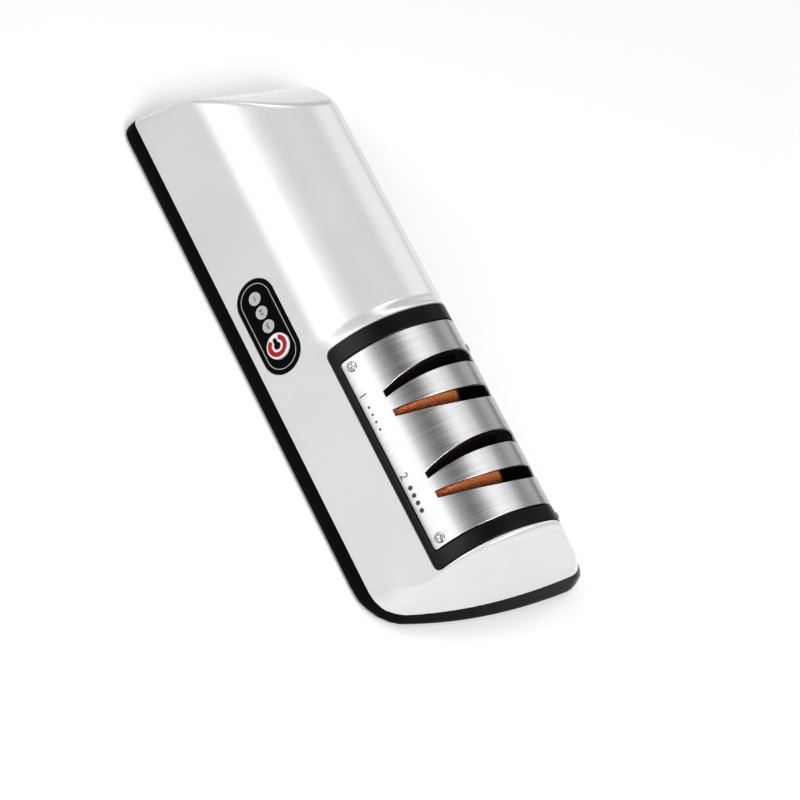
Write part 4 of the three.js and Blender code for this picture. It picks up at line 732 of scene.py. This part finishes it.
def wheel(name, x, seed):
    rim = [(WHEEL_RADIUS, z) for z in np.linspace(WHEEL_CHAMFER - WHEEL_HALF, WHEEL_HALF - WHEEL_CHAMFER, RIM_POINTS)]
    face = [(r, WHEEL_HALF) for r in np.linspace(WHEEL_RADIUS - WHEEL_CHAMFER, WHEEL_BORE, FACE_POINTS)]
    back = [(r, -WHEEL_HALF) for r in np.linspace(WHEEL_BORE, WHEEL_RADIUS - WHEEL_CHAMFER, FACE_POINTS)]
    piece = spun(name, rim + face + back, WHEEL_STEPS, Matrix.Identity(4))
    points = points_of(piece)
    grit = np.random.default_rng(seed).uniform(-GRIT_DEPTH, 0, len(points))
    away = points * np.array([1, 1, 0])
    away = away / np.maximum(np.linalg.norm(away, axis=1), 1e-9)[:, None]
    rimmed = np.linalg.norm(points[:, :2], axis=1) > WHEEL_RADIUS - 2 * WHEEL_CHAMFER
    place_points(piece, points + away * (grit * rimmed)[:, None])
    smooth(piece, GRIT_ANGLE)
    return moved(piece, Matrix.Translation((x, 0, SPINDLE_HEIGHT)) @ Matrix.Rotation(math.pi / 2, 4, "Y"))


PLATE_SCREW_HEAD = 0.0019
PLATE_SCREW_DOME = 0.0004
PLATE_SCREW_INSET = 0.0032
PLATE_SCREW_TURN = 20
HEAD_SIDES = 48
DOME_SHARE = 0.8
CROSS_WIDTH = 0.0006
CROSS_REACH = 0.7
CROSS_FLOOR = 0.05
SCREW_ANGLE = 40


def cross_bar(half, width):
    """Outline of one bar of a cross recess."""
    return rounded_box((-half, -width / 2), (half, width / 2), width / 3, 2)


def screw_head(name, radius, rise, matrix, turn=0):
    """A domed head with a cross recess, standing on z = 0."""
    head = round_solid(name, radius, 0, rise, HEAD_SIDES)
    soften(head, rise * DOME_SHARE, segments=4)
    for quarter in (0, 90):
        spin = Matrix.Rotation(math.radians(turn + quarter), 4, "Z")
        bar = outline_solid("bar", cross_bar(radius * CROSS_REACH, CROSS_WIDTH), rise * CROSS_FLOOR, rise * 2)
        cut(head, moved(bar, spin))
    smooth(head, SCREW_ANGLE)
    return moved(head, matrix)


def plate_screw_matrices():
    near = near_around(PLATE_NEAR + PLATE_SCREW_INSET * math.sin(NEAR_SLOPE))
    far = far_around(PLATE_FAR + PLATE_SCREW_INSET * math.sin(FAR_SLOPE))
    for x in (PLATE_LOW[0] + PLATE_SCREW_INSET, PLATE_HIGH[0] - PLATE_SCREW_INSET):
        for around in (near, far):
            y, z, oy, oz = skin_point(around)
            turn = Vector((0, 0, 1)).rotation_difference(Vector((0, oy, oz))).to_matrix().to_4x4()
            yield Matrix.Translation((x, y, z)) @ turn


# Marks: plain numbers and dots
DISC_RIM = 0.00022
DISC_NUMBER = 0.0030
PLATE_NUMBER = 0.0042
PLATE_MARK_AROUND = 0.0372
FINE_MARK_X = 0.0372
COARSE_MARK_X = 0.0712
FINE_DOT = 0.00045
COARSE_DOT = 0.00085
DOT_COUNT = 4
DOT_SIDES = 24
DOT_STEP = 0.0031
DOT_FROM = 0.0050
NUMBER_STEPS = 6


def number(name, text, size, thickness):
    """A number lying on z = 0, its middle on the origin."""
    deselect()
    bpy.ops.object.text_add(location=(0, 0, 0))
    piece = fresh(name)
    piece.data.body = text
    piece.data.size = size
    piece.data.extrude = thickness
    piece.data.resolution_u = NUMBER_STEPS
    piece.data.align_x, piece.data.align_y = "CENTER", "CENTER"
    take(piece)
    bpy.ops.object.convert(target="MESH")
    piece = fresh(name)
    middle = (points_of(piece).min(axis=0) + points_of(piece).max(axis=0)) / 2
    return moved(piece, Matrix.Translation((-middle[0], -middle[1], -middle[2])))


def disc_rim(place, x):
    rim = round_solid(f"disc_rim_{place}", INDICATOR_RADIUS, PANEL_PROUD - INK, PANEL_PROUD + INK, ROUND_SIDES, x)
    cut(rim, round_solid("inside", INDICATOR_RADIUS - DISC_RIM, -WALL, WALL, ROUND_SIDES, x))
    return moved(rim, FLANK)


def disc_number(place, x):
    sign = moved(number(f"disc_number_{place}", str(place), DISC_NUMBER, INK), Matrix.Rotation(-math.pi / 2, 4, "Z"))
    return moved(sign, FLANK @ Matrix.Translation((x, 0, PANEL_PROUD)))


def plate_mark(name, text, x, dot_radius):
    """A number with a row of dots beside it, small dots for the fine slots and large ones for the coarse."""
    mark = moved(number(name, text, PLATE_NUMBER, INK), Matrix.Translation((x, PLATE_MARK_AROUND, 0)))
    for step in range(DOT_COUNT):
        dot = round_solid("dot", dot_radius, -INK, INK, DOT_SIDES, x + DOT_FROM + DOT_STEP * step, PLATE_MARK_AROUND)
        take(mark)
        dot.select_set(True)
        bpy.ops.object.join()
    return wrapped(mark, PLATE_MARK_AROUND - PLATE_NUMBER, PLATE_MARK_AROUND + PLATE_NUMBER)


FOOT_SIDES = 96
FOOT_DISH = FOOT_RADIUS * 0.6
FOOT_DISH_ROOF = -FOOT_PROUD * 0.7


def foot(name, node_name):
    piece = round_solid(name, FOOT_RADIUS, -FOOT_PROUD, FOOT_RECESS - FIT / 3, FOOT_SIDES)
    cut(piece, round_solid("dish", FOOT_DISH, -2 * FOOT_PROUD, FOOT_DISH_ROOF, ROUND_SIDES))
    soften(piece, ROUND_BEVEL, segments=3)
    return moved(piece, under(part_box(node_name)))


CASE_SCREW_HEAD = 0.003
CASE_SCREW_FACE = 0.0001
CASE_SCREW_BACK = 0.0015
CASE_SCREW_SHANK = 0.0015
CASE_SCREW_TOP = 0.012
CASE_SHANK_SIDES = 32
CASE_CROSS = 0.0009
CASE_CROSS_REACH = 0.62
CASE_CROSS_DEPTH = 0.75
CASE_CROSS_TURN = 25
# The shank starts a little inside the head
SHANK_OVERLAP = 0.9


def case_screw(name, node_name):
    piece = round_solid(name, CASE_SCREW_HEAD, CASE_SCREW_FACE, CASE_SCREW_BACK, ROUND_SIDES)
    soften(piece, ROUND_BEVEL, segments=3)
    for quarter in (0, 90):
        bar = outline_solid("bar", cross_bar(CASE_SCREW_HEAD * CASE_CROSS_REACH, CASE_CROSS),
                            -CASE_SCREW_FACE, CASE_SCREW_BACK * CASE_CROSS_DEPTH)
        cut(piece, moved(bar, Matrix.Rotation(math.radians(quarter + CASE_CROSS_TURN), 4, "Z")))
    shank = round_solid("shank", CASE_SCREW_SHANK, CASE_SCREW_BACK * SHANK_OVERLAP, CASE_SCREW_TOP, CASE_SHANK_SIDES)
    cut(piece, shank, "UNION")
    smooth(piece, SCREW_ANGLE)
    return moved(piece, under(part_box(node_name)))


# Materials: noise scales per metre, relief in metres, and how far a tint goes from its colour
GLOSS_SCALE = 60
TINT_SCALE = 25
MOULD_SCALE = 900
RUBBER_SCALE = 500
MOULD_RELIEF = 0.00002
MOULD_BUMP = 0.15
MOULD_DARK, MOULD_LIGHT = 0.94, 1.04
BRUSH_SCALE = 400
BRUSH_DETAIL = 6.0
BRUSH_RELIEF = 0.00003
BRUSH_BUMP = 0.12
BRUSH_DARK, BRUSH_LIGHT = 0.80, 1.12
GRIT_SCALE = 1400
GRIT_DETAIL = 4.0
GRIT_ROUGHNESS = 0.85
GRIT_SPREAD = 0.07
GRIT_RELIEF = 0.00012
GRIT_BUMP = 0.6


def shades(colour, dark, light):
    return [c * dark for c in colour], [min(1, c * light) for c in colour]


def material(name, colour, metallic=0.0, roughness=0.5, **inputs):
    made = bpy.data.materials.new(name)
    made.use_nodes = True
    shader = made.node_tree.nodes["Principled BSDF"]
    shader.inputs["Base Color"].default_value = (*colour, 1)
    shader.inputs["Metallic"].default_value = metallic
    shader.inputs["Roughness"].default_value = roughness
    for key, value in inputs.items():
        shader.inputs[key.replace("_", " ")].default_value = value
    return made


def node(made, kind, **settings):
    new = made.node_tree.nodes.new(kind)
    for key, value in settings.items():
        if key in new.inputs:
            new.inputs[key].default_value = value
        else:
            setattr(new, key, value)
    return new


def link(made, source, target):
    made.node_tree.links.new(source, target)


def object_noise(made, scale, detail=3.0, stretch=(1, 1, 1)):
    """Noise on Object coordinates, drawn out by a stretch in each axis."""
    place = node(made, "ShaderNodeTexCoord")
    mapping = node(made, "ShaderNodeMapping")
    mapping.inputs["Scale"].default_value = stretch
    link(made, place.outputs["Object"], mapping.inputs["Vector"])
    noise = node(made, "ShaderNodeTexNoise")
    noise.inputs["Scale"].default_value = scale
    noise.inputs["Detail"].default_value = detail
    link(made, mapping.outputs["Vector"], noise.inputs["Vector"])
    return noise.outputs["Fac"]


def ranged(made, value, low, high, target):
    spread = node(made, "ShaderNodeMapRange")
    spread.inputs["To Min"].default_value = low
    spread.inputs["To Max"].default_value = high
    link(made, value, spread.inputs["Value"])
    link(made, spread.outputs["Result"], target)


def bumped(made, value, strength, distance):
    bump = node(made, "ShaderNodeBump")
    bump.inputs["Strength"].default_value = strength
    bump.inputs["Distance"].default_value = distance
    link(made, value, bump.inputs["Height"])
    link(made, bump.outputs["Normal"], made.node_tree.nodes["Principled BSDF"].inputs["Normal"])


def tinted(made, value, dark, light, spread=0.2):
    """Colours a piece from dark to light as a noise value goes through its middle."""
    ramp = node(made, "ShaderNodeValToRGB")
    ramp.color_ramp.elements[0].color = (*dark, 1)
    ramp.color_ramp.elements[1].color = (*light, 1)
    ramp.color_ramp.elements[0].position = 0.5 - spread
    ramp.color_ramp.elements[1].position = 0.5 + spread
    link(made, value, ramp.inputs["Fac"])
    link(made, ramp.outputs["Color"], made.node_tree.nodes["Principled BSDF"].inputs["Base Color"])


def moulded(name, colour, roughness, spread, scale=MOULD_SCALE, **inputs):
    """Moulded plastic: a faint grain and a little unevenness in its gloss."""
    made = material(name, colour, 0.0, roughness, **inputs)
    shader = made.node_tree.nodes["Principled BSDF"]
    ranged(made, object_noise(made, GLOSS_SCALE), roughness - spread, roughness + spread, shader.inputs["Roughness"])
    bumped(made, object_noise(made, scale), MOULD_BUMP, MOULD_RELIEF)
    tinted(made, object_noise(made, TINT_SCALE), *shades(colour, MOULD_DARK, MOULD_LIGHT))
    return made


def brushed(name, colour, roughness, stretch, streak=0.10, **inputs):
    """Metal with fine streaks along one way."""
    made = material(name, colour, 1.0, roughness, **inputs)
    shader = made.node_tree.nodes["Principled BSDF"]
    round_x = node(made, "ShaderNodeTangent", direction_type="RADIAL", axis="X")
    link(made, round_x.outputs["Tangent"], shader.inputs["Tangent"])
    streaks = object_noise(made, BRUSH_SCALE, BRUSH_DETAIL, stretch)
    ranged(made, streaks, roughness - streak, roughness + streak, shader.inputs["Roughness"])
    bumped(made, streaks, BRUSH_BUMP, BRUSH_RELIEF)
    tinted(made, streaks, *shades(colour, BRUSH_DARK, BRUSH_LIGHT))
    return made


def gritty(name, dark, light):
    """Bonded abrasive: coarse grain in colour and relief."""
    made = material(name, light, 0.0, GRIT_ROUGHNESS)
    grain = object_noise(made, GRIT_SCALE, GRIT_DETAIL)
    tinted(made, grain, dark, light, GRIT_SPREAD)
    bumped(made, grain, GRIT_BUMP, GRIT_RELIEF)
    return made


WHITE_SHELL = moulded("white_shell", (0.72, 0.72, 0.725), 0.22, 0.015, IOR=1.95, Coat_Weight=1.0,
                      Coat_Roughness=0.14, Coat_IOR=1.8)
BLACK_BASE = moulded("black_base", (0.0022, 0.0022, 0.0024), 0.22, 0.03, Specular_IOR_Level=0.03)
BLACK_FRAME = moulded("black_frame", (0.003, 0.003, 0.0033), 0.30, 0.04, Specular_IOR_Level=0.16)
GUIDE = moulded("guide_plastic", (0.002, 0.002, 0.002), 0.4, 0.05, Specular_IOR_Level=0.1)
PLATE = brushed("brushed_plate", (0.60, 0.605, 0.61), 0.29, (8, 0.05, 0.05), streak=0.06,
                Anisotropic=0.9, Anisotropic_Rotation=0.25)
STEEL = brushed("steel", (0.55, 0.55, 0.56), 0.3, (1, 2, 2))
GRIT = gritty("orange_grit", (0.95, 0.08, 0.008), (1.0, 0.44, 0.14))
BUTTON_WHITE = moulded("white_button", (0.88, 0.88, 0.88), 0.25, 0.03)
RED_INK = moulded("red_ring", (0.45, 0.006, 0.010), 0.35, 0.03, Specular_IOR_Level=0.2)
BLACK_INK = moulded("black_mark", (0.002, 0.002, 0.002), 0.35, 0.03, Specular_IOR_Level=0.05)
WHITE_INK = moulded("white_line", (0.62, 0.62, 0.62), 0.4, 0.03)
LENS = moulded("grey_lens", (0.50, 0.50, 0.51), 0.4, 0.05)
DARK_INK = moulded("dark_mark", (0.03, 0.03, 0.032), 0.45, 0.03)
RUBBER = moulded("rubber", (0.012, 0.012, 0.012), 0.8, 0.06, RUBBER_SCALE)
BOARD = moulded("board", (0.02, 0.12, 0.05), 0.45, 0.05)
CELL_WRAP = moulded("cell_wrap", (0.03, 0.12, 0.35), 0.35, 0.05)
GREY_PLASTIC = moulded("grey_plastic", (0.15, 0.155, 0.16), 0.5, 0.05)
BRASS = brushed("brass", (0.50, 0.33, 0.10), 0.3, (1, 8, 8))
COPPER = brushed("copper", (0.45, 0.16, 0.07), 0.35, (60, 1, 1))
MAGNET = moulded("magnet", (0.05, 0.05, 0.055), 0.6, 0.05)

SLOT_MATERIALS = {
    "white_shell": WHITE_SHELL, "black_base": BLACK_BASE, "black_frame": BLACK_FRAME, "guide_plastic": GUIDE,
    "brushed_plate": PLATE, "steel": STEEL, "orange_grit": GRIT, "white_button": BUTTON_WHITE,
    "grey_lens": LENS, "rubber": RUBBER, "board": BOARD, "cell_wrap": CELL_WRAP,
    "grey_plastic": GREY_PLASTIC, "brass": BRASS, "copper": COPPER, "magnet": MAGNET,
}


def dress_nodes():
    for row in frame["record"]["subparts"]:
        mesh = nodes[row["node"]].data
        mesh.materials.clear()
        mesh.materials.append(SLOT_MATERIALS[row["material_slot"]])


# Pieces in place


def in_row(piece):
    """Heights in this file start at the underside of the base, and the frame's at the floor."""
    return moved(piece, Matrix.Translation((0, 0, LIFT)))


def build():
    finished(in_row(top_shell()), "casing", WHITE_SHELL, "white_shell", "top_shell")
    finished(in_row(base_tray()), "casing", BLACK_BASE, "black_base", "base_tray")
    finished(in_row(slot_frame()), "casing", BLACK_FRAME, "black_frame", "slot_frame")
    finished(in_row(slot_plate()), "casing", PLATE, "brushed_plate", "slot_plate")
    finished(in_row(blade_guide()), "casing", GUIDE, "guide_plastic", "blade_guide")
    finished(in_row(control_panel()), "casing", BLACK_BASE, "black_base", "control_panel")
    finished(in_row(panel_line()), "casing", WHITE_INK, "white_button")
    finished(in_row(power_button()), "button", BUTTON_WHITE, "white_button", "power_button")
    finished(in_row(button_ring()), "button", RED_INK, "white_button")
    finished(in_row(button_mark()), "button", BLACK_INK, "black_base")
    for place, x in enumerate(INDICATOR_X, 1):
        finished(in_row(indicator(place, x)), "casing", LENS, "grey_lens", f"indicator_{place}")
        finished(in_row(disc_rim(place, x)), "casing", WHITE_INK, "white_button")
        finished(in_row(disc_number(place, x)), "casing", BLACK_INK, "black_base")
    finished(in_row(plate_mark("fine_mark", "1", FINE_MARK_X, FINE_DOT)), "casing", DARK_INK, "black_frame")
    finished(in_row(plate_mark("coarse_mark", "2", COARSE_MARK_X, COARSE_DOT)), "casing", DARK_INK, "black_frame")
    finished(in_row(wheel("dressed_fine_wheel", FINE_X, 1)), "spindle", GRIT, "orange_grit", "fine_wheel")
    finished(in_row(wheel("dressed_coarse_wheel", COARSE_X, 2)), "spindle", GRIT, "orange_grit", "coarse_wheel")
    for place, matrix in enumerate(plate_screw_matrices(), 1):
        screw = screw_head(f"dressed_plate_screw_{place}", PLATE_SCREW_HEAD, PLATE_SCREW_DOME, matrix,
                           PLATE_SCREW_TURN * place)
        finished(in_row(screw), "casing", STEEL, "steel", f"plate_screw_{place}")
        pad = foot(f"dressed_foot_{place}", f"foot_{place}")
        finished(in_row(pad), "casing", RUBBER, "rubber", f"foot_{place}")
        screw = case_screw(f"dressed_case_screw_{place}", f"case_screw_{place}")
        finished(in_row(screw), "casing", STEEL, "steel", f"case_screw_{place}")


# Camera, as the photograph was taken, for a frame of 800 by 800
AZIMUTH = math.radians(-47.03)
ELEVATION = math.radians(45.90)
ROLL = math.radians(28.64)
TARGET = Vector((0.00734, 0, 0.02535))
DISTANCE = 1.351
SENSOR_WIDTH = 36
FOCAL_SHARE = 4.87
SHIFT = (0.0205, -0.0861)


def camera():
    data = bpy.data.cameras.new("camera")
    made = bpy.data.objects.new("camera", data)
    bpy.context.scene.collection.objects.link(made)
    back = Vector((math.cos(ELEVATION) * math.cos(AZIMUTH), math.cos(ELEVATION) * math.sin(AZIMUTH),
                   math.sin(ELEVATION)))
    level = Vector((-back.y, back.x, 0)).normalized()
    rise = back.cross(level)
    right = math.cos(ROLL) * level + math.sin(ROLL) * rise
    up = -math.sin(ROLL) * level + math.cos(ROLL) * rise
    axes = Matrix((right, up, back)).transposed().to_4x4()
    made.matrix_world = Matrix.Translation(TARGET + back * DISTANCE) @ axes
    data.sensor_width = SENSOR_WIDTH
    data.lens = SENSOR_WIDTH * FOCAL_SHARE
    data.shift_x, data.shift_y = SHIFT
    bpy.context.scene.camera = made


# Studio
LAMP_PLACE = (1.0, -0.30, 1.20)
LAMP_AIM = (0.03, 0, 0.02)
LAMP_SIZE = 0.5
LAMP_POWER = 16


def area_light(name, place, aim, size, power):
    data = bpy.data.lights.new(name, "AREA")
    data.size = size
    data.energy = power
    made = bpy.data.objects.new(name, data)
    bpy.context.scene.collection.objects.link(made)
    made.location = place
    made.rotation_mode = "QUATERNION"
    made.rotation_quaternion = (Vector(aim) - Vector(place)).to_track_quat("-Z", "Y")


FLOOR_SIZE = 8
PAPER = (0.86, 0.86, 0.86)
PAPER_ROUGHNESS = 0.9
# How much whiter than its colour the paper looks to the camera, and in what mirrors it
CAMERA_GLOW = 0.16
GLOSSY_GLOW = 0.12


def floor():
    deselect()
    bpy.ops.mesh.primitive_plane_add(size=FLOOR_SIZE, location=(0, 0, 0))
    made = fresh("floor")
    paper = material("floor_paper", PAPER, 0.0, PAPER_ROUGHNESS)
    output = paper.node_tree.nodes["Material Output"]
    shader = paper.node_tree.nodes["Principled BSDF"]
    glow = node(paper, "ShaderNodeEmission")
    level = node(paper, "ShaderNodeMath", operation="MULTIPLY_ADD")
    level.inputs[1].default_value = CAMERA_GLOW - GLOSSY_GLOW
    level.inputs[2].default_value = GLOSSY_GLOW
    both = node(paper, "ShaderNodeAddShader")
    paths = node(paper, "ShaderNodeLightPath")
    either = node(paper, "ShaderNodeMath", operation="MAXIMUM")
    choose = node(paper, "ShaderNodeMixShader")
    link(paper, paths.outputs["Is Camera Ray"], level.inputs[0])
    link(paper, level.outputs["Value"], glow.inputs["Strength"])
    link(paper, paths.outputs["Is Camera Ray"], either.inputs[0])
    link(paper, paths.outputs["Is Glossy Ray"], either.inputs[1])
    link(paper, shader.outputs["BSDF"], both.inputs[0])
    link(paper, glow.outputs["Emission"], both.inputs[1])
    link(paper, either.outputs["Value"], choose.inputs["Fac"])
    link(paper, shader.outputs["BSDF"], choose.inputs[1])
    link(paper, both.outputs["Shader"], choose.inputs[2])
    link(paper, choose.outputs["Shader"], output.inputs["Surface"])
    made.data.materials.append(paper)


# Brightness of the soft boxes and of the rest of the room, round the X axis, from the horizon on the far side
# over the top to the near side
BOXES = ((0.0, 0.4), (0.1, 0.15), (0.2, 0.15), (0.3, 0.35), (0.37, 0.0), (0.64, 0.0), (0.72, 0.3), (0.8, 0.9),
         (0.9, 0.8), (0.96, 0.1), (1.0, 0.1))
ROOM = ((0.0, 0.2), (0.18, 0.0), (0.36, 0.0), (0.43, 0.9), (0.52, 0.9), (0.58, 0.0), (0.74, 0.0), (0.82, 0.15),
        (0.92, 0.15), (1.0, 0.0))
# Where along X the soft boxes stand
BOX_PLACE = ((0.15, 0.0), (0.2, 1.0), (0.32, 1.0), (0.37, 0.0))
# How the rest of the room dims towards its ends
ROOM_PLACE = ((0.0, 0.4), (0.1, 1.0), (0.45, 1.0), (0.6, 0.25), (1.0, 0.25))
BOX_STRENGTH = 4.0
ROOM_STRENGTH = 4.0


def grey_ramp(world, stops):
    ramp = node(world, "ShaderNodeValToRGB")
    elements = ramp.color_ramp.elements
    while len(elements) < len(stops):
        elements.new(0.5)
    for element, (place, grey) in zip(elements, stops):
        element.position = place
        element.color = (grey, grey, grey, 1)
    return ramp


def room():
    """Soft boxes in a darker room, and a white one for the camera."""
    world = bpy.data.worlds.new("studio")
    bpy.context.scene.world = world
    world.use_nodes = True
    light = world.node_tree.nodes["Background"]
    way = node(world, "ShaderNodeTexCoord")
    parts = node(world, "ShaderNodeSeparateXYZ")
    turn = node(world, "ShaderNodeMath", operation="ARCTAN2")
    around = node(world, "ShaderNodeMapRange")
    along = node(world, "ShaderNodeMapRange")
    around.inputs["From Max"].default_value = math.pi
    along.inputs["From Min"].default_value = -1
    link(world, way.outputs["Generated"], parts.inputs["Vector"])
    link(world, parts.outputs["Z"], turn.inputs[0])
    link(world, parts.outputs["Y"], turn.inputs[1])
    link(world, turn.outputs["Value"], around.inputs["Value"])
    link(world, parts.outputs["X"], along.inputs["Value"])
    place = grey_ramp(world, BOX_PLACE)
    link(world, along.outputs["Result"], place.inputs["Fac"])
    levels = []
    for stops, strength in ((ROOM, ROOM_STRENGTH), (BOXES, BOX_STRENGTH)):
        greys = grey_ramp(world, stops)
        level = node(world, "ShaderNodeMath", operation="MULTIPLY")
        level.inputs[1].default_value = strength
        link(world, around.outputs["Result"], greys.inputs["Fac"])
        link(world, greys.outputs["Color"], level.inputs[0])
        levels.append(level)
    dimming = grey_ramp(world, ROOM_PLACE)
    dimmed = node(world, "ShaderNodeMath", operation="MULTIPLY")
    link(world, along.outputs["Result"], dimming.inputs["Fac"])
    link(world, dimming.outputs["Color"], dimmed.inputs[0])
    link(world, levels[0].outputs["Value"], dimmed.inputs[1])
    both = node(world, "ShaderNodeMix")
    link(world, place.outputs["Color"], both.inputs["Factor"])
    link(world, dimmed.outputs["Value"], both.inputs["A"])
    link(world, levels[1].outputs["Value"], both.inputs["B"])
    link(world, both.outputs["Result"], light.inputs["Strength"])
    light.inputs["Color"].default_value = (1, 1, 1, 1)
    white = node(world, "ShaderNodeBackground")
    paths = node(world, "ShaderNodeLightPath")
    choose = node(world, "ShaderNodeMixShader")
    link(world, paths.outputs["Is Camera Ray"], choose.inputs["Fac"])
    link(world, light.outputs["Background"], choose.inputs[1])
    link(world, white.outputs["Background"], choose.inputs[2])
    white.inputs["Color"].default_value = (1, 1, 1, 1)
    link(world, choose.outputs["Shader"], world.node_tree.nodes["World Output"].inputs["Surface"])


def studio():
    bpy.context.scene.view_settings.view_transform = "Standard"
    room()
    area_light("front_lamp", LAMP_PLACE, LAMP_AIM, LAMP_SIZE, LAMP_POWER)
    floor()


dress_nodes()
build()
camera()
studio()
